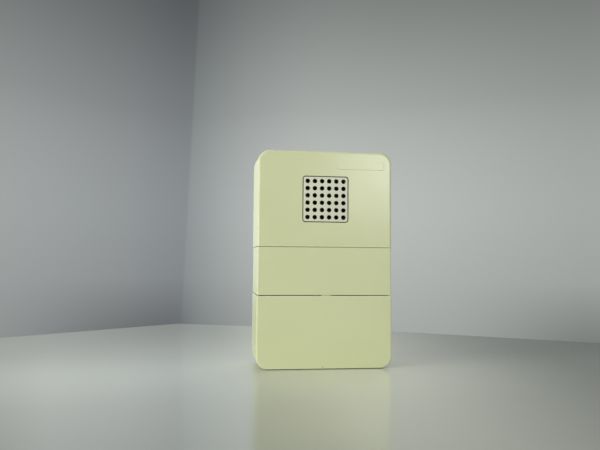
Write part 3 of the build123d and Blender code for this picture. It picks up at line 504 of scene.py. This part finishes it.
# The groove above the battery cover is painted dark on both of its sides as painted shade, and a
# painted contact shadow lines the cover's foot.
cover_front, groove_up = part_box("lower_cover")[0].y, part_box("lower_cover")[1].z
groove, foot = Vector((0, 0, groove_up)), Vector((0, 0, z_table))
groove_half, foot_half = 59.3 * mm, 56 * mm
band_groove_shade = shade_box_behind(cover_front + 0.9 * mm, half_deep, groove, groove_half, 0.9 * mm)
rim_groove_shade = shade_box_behind(cover_front + 0.6 * mm, 0.6 * mm, groove, groove_half, 0.3 * mm)
foot_contact_shadow = shade_box_behind(cover_front - 1.1 * mm, 1.6 * mm, foot, foot_half, 0.6 * mm)

# Each cover gets its brown specks and its painted shade.
covers = {
    "upper_cover": {"specks": [(top_speck, speck_r)], "grime": [opening_shade], "seam": grille_seam_shade},
    "centre_band": {"grime": [band_groove_shade]},
    "lower_cover": {"specks": [(foot_speck, speck_r)], "grime": [rim_groove_shade, foot_contact_shadow]},
}
for cover, dirt_and_shade in covers.items():
    material = moulded_finish(
        f"ivory_{cover}", cover, ivory, ivory_aged, ivory_wear_and_highlight, cover_gloss, cover_grain,
        IOR=plastic_ior, **dirt_and_shade,
    )
    dress(material, cover)


# The grille plate is a separate moulding in a whiter plastic, set into the upper cover from behind.
# Its thirty-six holes let the sound out.
grille_white = paint(201, 202, 178)
grille_aged = paint(195, 197, 171)
grille_worn = paint(214, 216, 196)
# Behind the opening's front the plate is painted dark as painted shade, in its holes and round its sides.
grille_shade = shade_box_behind(
    opening_front, half_deep, grille_middle, 2 * grille_half.x, 2 * grille_half.z
)
dress(
    moulded_finish(
        "off_white_grille", "grille_plate", grille_white, grille_aged, grille_worn, 0.42, 0.02 * mm,
        grime=[grille_shade], seam=grille_seam_shade, IOR=plastic_ior,
    ),
    "grille_plate",
)


# The wall plate is moulded in a duller grade of the same plastic, with a spark-eroded back. The
# upper cover, the band, the board and the battery holder are screwed to it.
plate_cream = paint(206, 203, 170)
plate_aged = paint(196, 190, 152)
plate_worn = paint(216, 213, 186)
dress(
    moulded_finish(
        "matt_wall_plate", "back_plate", plate_cream, plate_aged, plate_worn, 0.62, 0.06 * mm,
        IOR=plastic_ior,
    ),
    "back_plate",
)


# The dust cloth is a thin black weave that is glued behind the grille plate. It shows through the
# holes and keeps the paper cone out of sight.
def middle_of(node):
    """The middle of a CAD node's box."""
    return box_of(node)[0]


def radius_of(node):
    """Half the width of a CAD node, from side to side."""
    low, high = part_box(node)
    return (high.x - low.x) / 2


def disc_across(radius, segments, place):
    """A flat disc that faces the room."""
    made = bmesh.new()
    bmesh.ops.create_circle(made, cap_ends=True, segments=segments, radius=radius)
    bmesh.ops.rotate(made, verts=made.verts, matrix=Matrix.Rotation(math.pi / 2, 3, "X"))
    bmesh.ops.translate(made, verts=made.verts, vec=place)
    return made


def cut_both_ways(made, middle, offsets):
    """Cuts a mesh from side to side and from top to bottom, at some offsets from a middle."""
    for way in (Vector((1, 0, 0)), Vector((0, 0, 1))):
        for offset in offsets:
            parts = [*made.verts, *made.edges, *made.faces]
            bmesh.ops.bisect_plane(made, geom=parts, plane_co=middle + way * offset, plane_no=way)


def ripple(tree, along, length):
    """A wave along a distance, once in each length."""
    return work_out(tree, "SINE", work_out(tree, "MULTIPLY", along, 2 * math.pi / length))


def seat(made, name, material, node=None, body="casing"):
    """A finished piece on its body, in place of the CAD node that it stands for, if there is one."""
    piece = as_piece(made, name, material)
    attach(piece, body)
    if node:
        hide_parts(node)
    return piece


cloth_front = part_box("grille_cloth")[0].y
cloth_middle = middle_of("grille_cloth")
cloth_r = radius_of("grille_cloth")
cloth_thick = 0.36 * mm
thread = 0.55 * mm
cut_pitch, cuts_each_way = 2 * mm, 11
weave = disc_across(cloth_r, 96, (0, cloth_front + cloth_thick, cloth_middle.z))
cut_both_ways(weave, cloth_middle, [n * cut_pitch for n in range(-cuts_each_way, cuts_each_way + 1)])
material, tree, shader, place = new_finish("black_cloth", Roughness=0.95, Sheen_Weight=0.25)
across, _, upright = three_of(tree, place)
crossing = work_out(tree, "MULTIPLY", ripple(tree, across, thread), ripple(tree, upright, thread))
shade = work_out(tree, "MULTIPLY_ADD", crossing, 0.25, noise(tree, place, 900, 3), clamp=True)
black_yarn = blend(tree, shade, paint(5, 5, 6), paint(24, 24, 25))
feed(tree, shader, black_yarn, height=shade, depth=0.08 * mm)
cloth = seat(weave, "dust_cloth", material, "grille_cloth")
thicken = cloth.modifiers.new("cloth", "SOLIDIFY")
thicken.thickness = cloth_thick


# The loudspeaker's frame, washer, pole piece and clips are pressed or turned steel with a thin zinc
# plating, and so are the tune switch's case and all the screws. The magnet is sintered ferrite.
drawn_depth = 0.008 * mm


def metal_finish(name, shade, tarnish, roughness, streak=(1, 1, 1)):
    """Bare or plated metal: drawn lines along streak's short way, and dull patches."""
    material, tree, shader, place = new_finish(name, Metallic=1.0)
    lines = noise(tree, add(tree, "Mapping", {"Vector": place, "Scale": streak}).outputs[0], 700, 4)
    patch = fit(tree, noise(tree, place, 70, 5, 0.65), 0.4, 0.68)
    gloss = between(tree, lines, roughness - 0.08, roughness + 0.1)
    gloss = work_out(tree, "MULTIPLY_ADD", patch, 0.15, gloss, clamp=True)
    feed(tree, shader, blend(tree, patch, shade, tarnish), gloss, lines, drawn_depth)
    return material


dress(
    metal_finish("zinc_plating", paint(196, 196, 190), paint(168, 164, 146), 0.34),
    "casing_screws", "board_screws", "holder_screws", "terminal_screws", "speaker_clip_screws",
    "speaker_clips", "speaker_washer", "speaker_pole", "tune_switch_body",
)
dress(
    metal_finish("pressed_frame", paint(178, 178, 172), paint(140, 138, 126), 0.4, streak=(1, 0.2, 1)),
    "speaker_basket",
)

material, tree, shader, place = new_finish("ferrite", Roughness=0.7)
grit = add(tree, "TexVoronoi", {"Vector": place, "Scale": 1600}).outputs["Distance"]
chips = fit(tree, noise(tree, place, 260, 6), 0.62, 0.68)
rough = work_out(tree, "MULTIPLY_ADD", chips, 0.2, 0.5)
rough = work_out(tree, "MULTIPLY_ADD", grit, 0.3, rough, clamp=True)
feed(tree, shader, blend(tree, chips, paint(52, 52, 54), paint(92, 92, 94)), rough, grit, 0.03 * mm)
dress(material, "speaker_magnet")


# The cone is pressed from black paper pulp with stiffening ribs, and a domed paper cap closes its
# neck. A doped paper spider and a half-rolled foam surround carry it.
def fibre_finish(name, dark, pale, roughness, fibre=(1, 1, 1), scale=900.0, depth=0.05 * mm):
    """Pulp, paper, foam or laminate: fibres or cells in two shades with an uneven skin."""
    material, tree, shader, place = new_finish(name)
    drawn = add(tree, "Mapping", {"Vector": place, "Scale": fibre}).outputs[0]
    hairs = noise(tree, drawn, scale, 6, 0.7)
    cells = add(tree, "TexVoronoi", {"Vector": place, "Scale": scale}).outputs["Distance"]
    skin = work_out(tree, "MULTIPLY_ADD", cells, 0.5, hairs)
    colour = blend(tree, fit(tree, skin, 0.4, 1.0), dark, pale)
    feed(tree, shader, colour, between(tree, hairs, roughness - 0.1, roughness + 0.1), skin, depth)
    return material


def spun(profile, centre, axis=(0, 1, 0), steps=96, closed=False):
    """A bmesh turned about an axis from (radius, along) points in metres."""
    made = bmesh.new()
    centre, axis = Vector(centre), Vector(axis)
    points = [made.verts.new(centre + Vector((radius, 0, 0)) + axis * along) for radius, along in profile]
    pairs = list(zip(points, points[1:])) + ([(points[-1], points[0])] if closed else [])
    lines = [made.edges.new(pair) for pair in pairs]
    bmesh.ops.spin(
        made, geom=points + lines, cent=centre, axis=axis, angle=2 * math.pi, steps=steps, use_merge=True
    )
    bmesh.ops.remove_doubles(made, verts=made.verts, dist=1e-7)
    bmesh.ops.recalc_face_normals(made, faces=made.faces)
    return made


pulp = fibre_finish("black_pulp", paint(22, 21, 20), paint(52, 48, 44), 0.82, fibre=(1, 0.3, 1))
foam = fibre_finish("grey_foam", paint(30, 30, 31), paint(72, 72, 72), 0.9, scale=1500.0, depth=0.12 * mm)
doped = fibre_finish("doped_paper", paint(150, 112, 60), paint(186, 152, 96), 0.6, scale=1300.0)

cone_low, cone_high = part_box("speaker_cone")
hub = middle_of("speaker_cone")
hub.y = 0
rim_r = radius_of("speaker_cone")
coil_wall = 0.4 * mm
neck_r = radius_of("voice_coil") - coil_wall
paper = 0.5 * mm
rim_thinner = 0.3
rib_count, rib_high, rib_from, rib_to = 6, 0.12 * mm, 0.15, 0.95
cone_steps = 48
front, back = [], []
for i in range(cone_steps + 1):
    share = i / cone_steps
    radius = neck_r + (rim_r - neck_r) * share
    along = cone_high.y - paper + (cone_low.y - cone_high.y + paper) * share
    wave = max(0, math.sin(2 * math.pi * rib_count * share))
    front.append((radius, along + (rib_high * wave if rib_from < share < rib_to else 0)))
    back.append((radius, along + paper * (1 - rim_thinner * share)))
cone = spun(front + back[::-1], hub, steps=120, closed=True)
seat(cone, "ribbed_cone", pulp, "speaker_cone", "speaker_cone")

cap_low, cap_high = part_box("speaker_dust_cap")
cap_r = radius_of("speaker_dust_cap")
cap_rise = cap_high.y - cap_low.y
cap_thick = 0.35 * mm
dome_r = (cap_r**2 + cap_rise**2) / (2 * cap_rise)
dome_steps = 16
dome = []
for i in range(dome_steps + 1):
    angle = math.asin(cap_r / dome_r) * i / dome_steps
    dome.append((dome_r * math.sin(angle), cap_low.y + dome_r * (1 - math.cos(angle))))
inner = [(radius, along + cap_thick) for radius, along in dome[:-1]]
seat(spun(dome + inner[::-1], hub), "domed_cap", pulp, "speaker_dust_cap", "speaker_cone")

surround_low, surround_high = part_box("speaker_surround")
surround_in, surround_out = 22.4 * mm, radius_of("speaker_surround")
inner_lip, outer_lip = 0.25 * mm, 0.5 * mm
roll_from, roll_to = surround_in + inner_lip, surround_out - outer_lip
skin_thick = 0.22 * mm
roll_high = surround_high.y - surround_low.y - skin_thick
roll_steps = 16
roll = [(surround_in, 0)]
for i in range(roll_steps + 1):
    turn = math.pi * i / roll_steps
    radius = (roll_from + roll_to) / 2 - (roll_to - roll_from) / 2 * math.cos(turn)
    roll.append((radius, -roll_high * math.sin(turn)))
roll.append((surround_out, 0))
outer = [(radius, surround_high.y - skin_thick + along) for radius, along in roll]
inner = [(radius, along + skin_thick) for radius, along in outer]
surround = spun(outer + inner[::-1], hub, steps=120, closed=True)
seat(surround, "rolled_surround", foam, "speaker_surround")

spider_low, spider_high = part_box("speaker_spider")
neck_gap = 0.7 * mm
spider_in, spider_out = neck_r + neck_gap, radius_of("speaker_spider")
ridge_count = 4
sheet_thick = 0.2 * mm
swing = (spider_high.y - spider_low.y - sheet_thick) / 2
spider_steps = 48
upper = []
for i in range(spider_steps + 1):
    share = i / spider_steps
    radius = spider_in + (spider_out - spider_in) * share
    upper.append((radius, spider_low.y + swing * (1 + math.sin(2 * math.pi * ridge_count * share))))
under = [(radius, along + sheet_thick) for radius, along in upper]
spider = spun(upper + under[::-1], hub, closed=True)
seat(spider, "corrugated_spider", doped, "speaker_spider")

gasket_in, gasket_out = 24.5 * mm, radius_of("speaker_gasket")
gasket_front, gasket_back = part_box("speaker_gasket")[0].y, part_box("speaker_gasket")[1].y
soft = 0.4 * mm
profile = [
    (gasket_in + soft, gasket_back), (gasket_in, gasket_back - soft),
    (gasket_in, gasket_front + soft), (gasket_in + soft, gasket_front),
    (gasket_out - soft, gasket_front), (gasket_out, gasket_front + soft),
    (gasket_out, gasket_back - soft), (gasket_out - soft, gasket_back),
]
gasket = seat(spun(profile, hub, closed=True), "foam_gasket", foam, "speaker_gasket")


# The voice coil is enamelled copper wire wound on the cone's neck, turn beside turn. It sits in the
# gap between the pole piece and the washer.
wire = 0.16 * mm
material, tree, shader, place = new_finish("copper_winding", Metallic=1.0, Coat_Weight=0.6)
turns = ripple(tree, three_of(tree, place)[1], wire)
tone = noise(tree, place, 300, 2)
copper = blend(tree, tone, paint(178, 96, 48), paint(212, 130, 74))
feed(tree, shader, copper, between(tree, tone, 0.2, 0.35), turns, 0.05 * mm)
dress(material, "voice_coil")


# The solder strip on the loudspeaker's frame and the base of the volume control are stamped from
# brown paper laminate.
laminate = fibre_finish(
    "brown_laminate", paint(118, 74, 36), paint(160, 110, 62), 0.45, fibre=(1, 4, 0.3), scale=500.0,
    depth=0.015 * mm,
)
dress(laminate, "speaker_solder_strip", "volume_control")


# The circuit board is laminate under green solder resist, which shows the copper tracks as paler
# lines. Its parts stand on the side that faces the room.
track_pitch = 2.54 * mm
track_block = 9.6 * mm
lying, upright = (0, 11.0, 0.37), (math.pi / 2, 9.0, 0.23)
material, tree, shader, place = new_finish("green_resist", Coat_Weight=0.4, Coat_Roughness=0.15)
flat = add(tree, "Mapping", {"Vector": place, "Rotation": (math.pi / 2, 0, 0)}).outputs[0]
runs = []
for turn, long, shift in (lying, upright):
    laid = add(tree, "Mapping", {"Vector": flat, "Rotation": (0, 0, turn)}).outputs[0]
    sockets = {
        "Vector": laid, "Scale": 1 / track_pitch, "Mortar Size": 0.13, "Mortar Smooth": 0.2,
        "Brick Width": long, "Row Height": 1.0,
    }
    bricks = add(tree, "TexBrick", sockets, offset=shift, squash=0.6, squash_frequency=3)
    runs.append(bricks.outputs["Fac"])
sockets = {
    "Vector": flat, "Color1": paint(0, 0, 0), "Color2": paint(255, 255, 255), "Scale": 1 / track_block,
    "Mortar Size": 0.0, "Brick Width": 1.6, "Row Height": 0.8,
}
bricks = add(tree, "TexBrick", sockets, offset=0.31, squash=0.7, squash_frequency=2)
blocks = bricks.outputs["Color"]
lying_tracks = work_out(tree, "MULTIPLY", runs[0], work_out(tree, "LESS_THAN", blocks, 0.4))
upright_tracks = work_out(tree, "MULTIPLY", runs[1], work_out(tree, "GREATER_THAN", blocks, 0.62))
tracks = work_out(tree, "ADD", lying_tracks, upright_tracks)
cloud = noise(tree, place, 60, 4)
resist = blend(tree, cloud, paint(38, 88, 44), paint(46, 102, 50))
resist = blend(tree, tracks, resist, paint(74, 134, 66))
feed(tree, shader, resist, between(tree, cloud, 0.3, 0.42), tracks, 0.035 * mm)
dress(material, "circuit_board")


# The melody chip, the transistors, the wheel, the switch's lever and the battery holder are black
# mouldings. Pins and legs that come out of them are tinned.
black = [paint(26, 26, 27), paint(38, 38, 38), paint(66, 66, 66)]
tin = paint(196, 194, 186)
chip_body_half = 3.22 * mm
transistor_body = 4.62 * mm


def tin_beyond(material, axis, centre, reach):
    """Makes a moulding's finish tinned metal where it is further than reach from centre along an axis."""
    tree = material.node_tree
    shader = tree.nodes["Principled BSDF"]
    place = next(n for n in tree.nodes if n.bl_idname == "ShaderNodeTexCoord").outputs["Object"]
    off = work_out(tree, "SUBTRACT", three_of(tree, place)[axis], centre)
    if reach:
        off = work_out(tree, "ABSOLUTE", off)
    mask = work_out(tree, "GREATER_THAN", off, reach)
    plastic = shader.inputs["Base Color"].links[0].from_socket
    tree.links.new(blend(tree, mask, plastic, tin), shader.inputs["Base Color"])
    tree.links.new(mask, shader.inputs["Metallic"])
    return material


chip = moulded_finish("black_chip", "melody_chip", *black, 0.5, 0.03 * mm)
dress(tin_beyond(chip, 2, middle_of("melody_chip").z, chip_body_half), "melody_chip")
transistor = moulded_finish("black_transistor", "transistors", *black, 0.45, 0.02 * mm)
dress(tin_beyond(transistor, 1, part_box("transistors")[0].y + transistor_body, 0), "transistors")
for node in ("volume_wheel", "tune_switch_lever", "battery_holder"):
    dress(moulded_finish(f"black_{node}", node, *black, 0.48, 0.03 * mm), node)


# The terminal block is a green moulding with brass cages inside, for the bell push's wires. A screw
# clamps each wire in its cage.
green = [paint(40, 104, 66), paint(34, 92, 58), paint(92, 142, 108)]
dress(moulded_finish("green_terminal", "terminal_block", *green, 0.42, 0.02 * mm), "terminal_block")
dress(metal_finish("brass_cage", paint(200, 164, 88), paint(150, 116, 60), 0.3), "terminal_clamps")


# The capacitors are aluminium cans in blue shrink sleeves that roll over the rim, with a scored
# vent on top. Their places, radii and heights are in millimetres, from the board's middle.
board_low, board_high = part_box("circuit_board")
board_face = board_low.y
board_tall = 44 * mm
board_middle = board_high.z - board_tall / 2
can_places = [(-30.0, 12.3, 4.0, 12.0), (-18.0, 13.2, 3.15, 11.0), (30.0, 2.2, 3.15, 11.0)]
vent_half, vent_deep, vent_in, lid_in = 0.16, 0.15, 1.2, 0.62
sleeves, tops = bmesh.new(), bmesh.new()


def join_in(whole, part):
    """Adds one finished bmesh to another."""
    mesh = bpy.data.meshes.new("part")
    part.to_mesh(mesh)
    part.free()
    whole.from_mesh(mesh)
    bpy.data.meshes.remove(mesh)


def in_metres(points):
    """Points of a profile, from millimetres."""
    return [(radius * mm, along * mm) for radius, along in points]


def scored_lid(centre, radius, up):
    """A can's lid, with the grooves of its vent as a cross."""
    lid = disc_across((radius - lid_in) * mm, 40, centre + Vector((0, up * mm, 0)))
    cut_both_ways(lid, centre, [-vent_half * mm, 0, vent_half * mm])
    scored = [
        v for v in lid.verts
        if min(abs(v.co.x - centre.x), abs(v.co.z - centre.z)) < 1e-6
        and (v.co - centre).xz.length < (radius - vent_in) * mm
    ]
    bmesh.ops.translate(lid, verts=scored, vec=(0, vent_deep * mm, 0))
    return lid


for across, up, radius, tall in can_places:
    centre = Vector((across * mm, 0, board_middle + up * mm))
    foot = board_face / mm
    top, bead = foot - tall, foot - tall / 5
    profile = [
        (radius - 0.5, foot), (radius - 0.12, foot), (radius, foot - 0.25), (radius, bead + 0.5),
        (radius - 0.28, bead + 0.15), (radius - 0.28, bead - 0.15), (radius, bead - 0.5),
        (radius, top + 0.6), (radius - 0.12, top + 0.2), (radius - 0.4, top), (radius - 0.9, top),
        (radius - 0.95, top + 0.1), (radius - 0.9, top + 0.3), (radius - 0.5, top + 0.9),
    ]
    join_in(sleeves, spun(in_metres(profile), centre, steps=48, closed=True))
    join_in(tops, scored_lid(centre, radius, top + 0.2))
material, tree, shader, place = new_finish("blue_sleeve", Coat_Weight=0.3)
tone = noise(tree, place, 150, 4)
blue = blend(tree, tone, paint(30, 48, 96), paint(42, 62, 116))
feed(tree, shader, blue, between(tree, tone, 0.25, 0.4), tone, 0.03 * mm)
seat(sleeves, "capacitor_sleeves", material, "capacitors")
spun_can = metal_finish("spun_aluminium", paint(206, 208, 210), paint(180, 182, 184), 0.3)
seat(tops, "capacitor_tops", spun_can)


# The resistors are carbon film on ceramic rods with pressed end caps, lacquered and banded, with
# tinned legs bent down into the board. Sizes are in millimetres, and the bands are picked at random.
resistor_count, first_across, first_up, pitch_across, step_up = 7, -31.0, -9.7, 8.6, 2.6
resistor_lift = 0.4
rod_half, rod_end, cap_from, end_cap_r, waist_r, rod_steps = 3.0, 3.1, 1.7, 1.15, 0.98, 20
leg_r, leg_start, leg_straight, leg_bend = 0.3, 3.05, 1.05, 0.6
band_colours = {
    "black": (24, 22, 22), "brown": (92, 50, 26), "red": (170, 30, 26), "orange": (214, 106, 30),
    "yellow": (222, 190, 50), "green": (44, 112, 60), "gold": (168, 130, 64),
}
band_at = {3: 0, 6: 1, 9: 2, 14: 3}
body_beige = paint(190, 164, 122)
picks = random.Random(7)
bodies, wires = bmesh.new(), bmesh.new()
bodies.loops.layers.float_color.new("tint")


def banded_rod(centre):
    """A resistor's body, with a colour on each ring of faces."""
    profile = [(0, -rod_end)]
    for i in range(rod_steps + 1):
        along = -rod_half + 2 * rod_half * i / rod_steps
        profile.append((end_cap_r if abs(along) > cap_from else waist_r, along))
    profile.append((0, rod_end))
    rod = spun(in_metres(profile), centre, axis=(0, 0, 1), steps=20)
    colours = [picks.choice(list(band_colours)[:6]) for _ in range(3)] + ["gold"]
    layer = rod.loops.layers.float_color.new("tint")
    for face in rod.faces:
        step = (face.calc_center_median().z - centre.z) / mm / (2 * rod_half) * rod_steps + rod_steps / 2
        band = band_at.get(int(step))
        colour = body_beige if band is None else paint(*band_colours[colours[band]])
        for loop in face.loops:
            loop[layer] = colour
    return rod


def bent_leg(centre, side):
    """A leg that leaves the rod's end, bends through a quarter turn and reaches the board."""
    leg = bmesh.new()
    start = centre + Vector((0, 0, side * leg_start * mm))
    bmesh.ops.create_circle(leg, segments=10, radius=leg_r * mm)
    bmesh.ops.translate(leg, verts=leg.verts, vec=start)
    out = bmesh.ops.extrude_edge_only(leg, edges=leg.edges[:])["geom"]
    ends, lines = only(out, bmesh.types.BMVert), only(out, bmesh.types.BMEdge)
    bmesh.ops.translate(leg, verts=ends, vec=(0, 0, side * leg_straight * mm))
    bend = start + Vector((0, leg_bend * mm, side * leg_straight * mm))
    turned = bmesh.ops.spin(
        leg, geom=ends + lines, cent=bend, axis=(1, 0, 0), angle=side * -math.pi / 2, steps=6
    )["geom_last"]
    out = bmesh.ops.extrude_edge_only(leg, edges=only(turned, bmesh.types.BMEdge))["geom"]
    for end in only(out, bmesh.types.BMVert):
        end.co.y = board_face
    bmesh.ops.remove_doubles(leg, verts=leg.verts, dist=1e-7)
    bmesh.ops.holes_fill(leg, edges=leg.edges)
    bmesh.ops.recalc_face_normals(leg, faces=leg.faces)
    return leg


for i in range(resistor_count):
    across, up = first_across + pitch_across * i, first_up + step_up * (i % 2)
    axis_y = board_face - (resistor_lift + end_cap_r) * mm
    centre = Vector((across * mm, axis_y, board_middle + up * mm))
    join_in(bodies, banded_rod(centre))
    for side in (-1, 1):
        join_in(wires, bent_leg(centre, side))
material, tree, shader, place = new_finish("banded_lacquer", Coat_Weight=0.5)
bands = add(tree, "Attribute", attribute_name="tint").outputs["Color"]
tone = noise(tree, place, 700, 3)
lacquer = blend(tree, work_out(tree, "MULTIPLY", tone, 0.25), bands, paint(140, 112, 76))
feed(tree, shader, lacquer, between(tree, tone, 0.25, 0.45), tone, 0.03 * mm)
seat(bodies, "banded_resistors", material, "resistors")
tinned = metal_finish("tinned_wire", paint(200, 198, 190), paint(164, 160, 148), 0.32)
seat(wires, "resistor_legs", tinned)


# The contacts and the tapering springs of the battery holder are nickel-plated steel. They link the
# cells in a row.
nickel = metal_finish("nickel_plating", paint(206, 202, 192), paint(160, 150, 128), 0.28)
dress(nickel, "battery_contacts", "battery_springs")


# The four cells are steel cans in plain printed sleeves, shrunk over both ends, with the bare nub
# at one end and the bare cap at the other. They stand head to tail.
nub_high, nub_r, cap_in_r, cap_out_r = 1.0, 2.75, 3.9, 5.6
bare_r = 6.25 * mm
band_from, stripe_at, plus_at, minus_at = 12 * mm, 11 * mm, 18 * mm, -20 * mm
line_half, arm_half = 0.35 * mm, 1.6 * mm
sleeve_dark = paint(44, 50, 58)
sleeve_grey = paint(150, 156, 164)
sleeve_pale = paint(196, 200, 204)
mark_white = paint(232, 232, 230)
scuff_grey = paint(120, 120, 120)
bare_steel = paint(204, 202, 196)


def cell_outline(r, half):
    """From the bare base along the sleeve, with its shrunk rims, to the nub, in millimetres."""
    base, top = -half, half - nub_high
    return [
        (0, base + 0.12), (3.6, base + 0.12), (cap_in_r, base), (cap_out_r, base), (5.9, base + 0.35),
        (6.3, base + 0.35), (6.4, base + 0.06), (r - 0.25, base + 0.12), (r, base + 0.5), (r, base + 2.2),
        (r - 0.05, base + 2.4), (r - 0.05, top - 2.4), (r, top - 2.2), (r, top - 0.5), (r - 0.25, top - 0.12),
        (6.2, top - 0.06), (6.1, top - 0.35), (3.4, top - 0.3), (2.9, top - 0.1), (nub_r, top + 0.1),
        (nub_r, top + 0.8), (2.5, half), (0, half),
    ]


def printed_sleeve(name, centre, way):
    """A cell's sleeve: a pale band and a stripe below the nub, plus and minus marks, and scuffs."""
    material, tree, shader, place = new_finish(name, Coat_Weight=0.35)
    x, y, z = three_of(tree, work_out_vector(tree, "SUBTRACT", place, centre))
    along = work_out(tree, "MULTIPLY", z, way)
    from_axis = work_out_vector(tree, "LENGTH", add(tree, "CombineXYZ", {0: x, 1: y}).outputs[0])
    bare = work_out(tree, "LESS_THAN", from_axis, bare_r)
    band = work_out(tree, "GREATER_THAN", along, band_from)
    stripe = work_out(tree, "COMPARE", along, stripe_at, line_half)
    wide, thin = [work_out(tree, "COMPARE", x, 0.0, reach) for reach in (arm_half, line_half)]
    plus_bar, plus_post = [
        work_out(tree, "COMPARE", along, plus_at, reach) for reach in (line_half, arm_half)
    ]
    minus_bar = work_out(tree, "COMPARE", along, minus_at, line_half)
    bars = work_out(tree, "MULTIPLY", wide, work_out(tree, "MAXIMUM", plus_bar, minus_bar))
    marks = work_out(tree, "MAXIMUM", bars, work_out(tree, "MULTIPLY", thin, plus_post))
    marks = work_out(tree, "MULTIPLY", marks, work_out(tree, "LESS_THAN", y, 0.0))
    scuffs = fit(tree, noise(tree, place, 260, 6, 0.7), 0.6, 0.72)
    colour = blend(tree, band, sleeve_dark, sleeve_grey)
    colour = blend(tree, stripe, colour, sleeve_pale)
    colour = blend(tree, marks, colour, mark_white)
    colour = blend(tree, work_out(tree, "MULTIPLY", scuffs, 0.3), colour, scuff_grey)
    colour = blend(tree, bare, colour, bare_steel)
    feed(tree, shader, colour, between(tree, scuffs, 0.26, 0.5), scuffs, 0.01 * mm)
    tree.links.new(work_out(tree, "MAXIMUM", bare, 0.25), shader.inputs["Metallic"])
    return material


for count, name in enumerate(["cell_1", "cell_2", "cell_3", "cell_4"]):
    low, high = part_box(name)
    centre = middle_of(name)
    way = 1 if count % 2 == 0 else -1
    outline = cell_outline(radius_of(name) / mm, (high.z - low.z) / 2 / mm)
    profile = in_metres([(radius, way * along) for radius, along in outline])
    can = spun(profile, centre, axis=(0, 0, 1), steps=64)
    seat(can, f"sleeved_{name}", printed_sleeve(f"printed_{name}", centre, way), name)


# The leads are stranded copper in plastic insulation, one red and one black in each pair. They are
# soldered at both ends.
speaker_lead_lean = 4 / 22


def lead_finish(name, node, lean=0.0):
    """Insulation that is red on one side of a leaning line between the two leads, and black on the other."""
    material, tree, shader, place = new_finish(name, Roughness=0.35)
    low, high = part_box(node)
    x, _, z = three_of(tree, place)
    fallen = work_out(tree, "SUBTRACT", high.z, z)
    line_at_top = (low.x + high.x) / 2 - lean * (high.z - low.z) / 2
    line = work_out(tree, "MULTIPLY_ADD", fallen, lean, line_at_top)
    side = work_out(tree, "GREATER_THAN", x, line)
    tone = noise(tree, place, 400, 3)
    red = blend(tree, tone, paint(166, 26, 22), paint(190, 40, 32))
    dark = blend(tree, tone, paint(20, 20, 21), paint(36, 36, 37))
    gloss = between(tree, tone, 0.3, 0.46)
    feed(tree, shader, blend(tree, side, dark, red), gloss, tone, 0.02 * mm)
    return material


speaker_pair = lead_finish("speaker_lead_insulation", "speaker_leads", lean=speaker_lead_lean)
dress(speaker_pair, "speaker_leads")
dress(lead_finish("battery_lead_insulation", "battery_leads"), "battery_leads")


low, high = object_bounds()
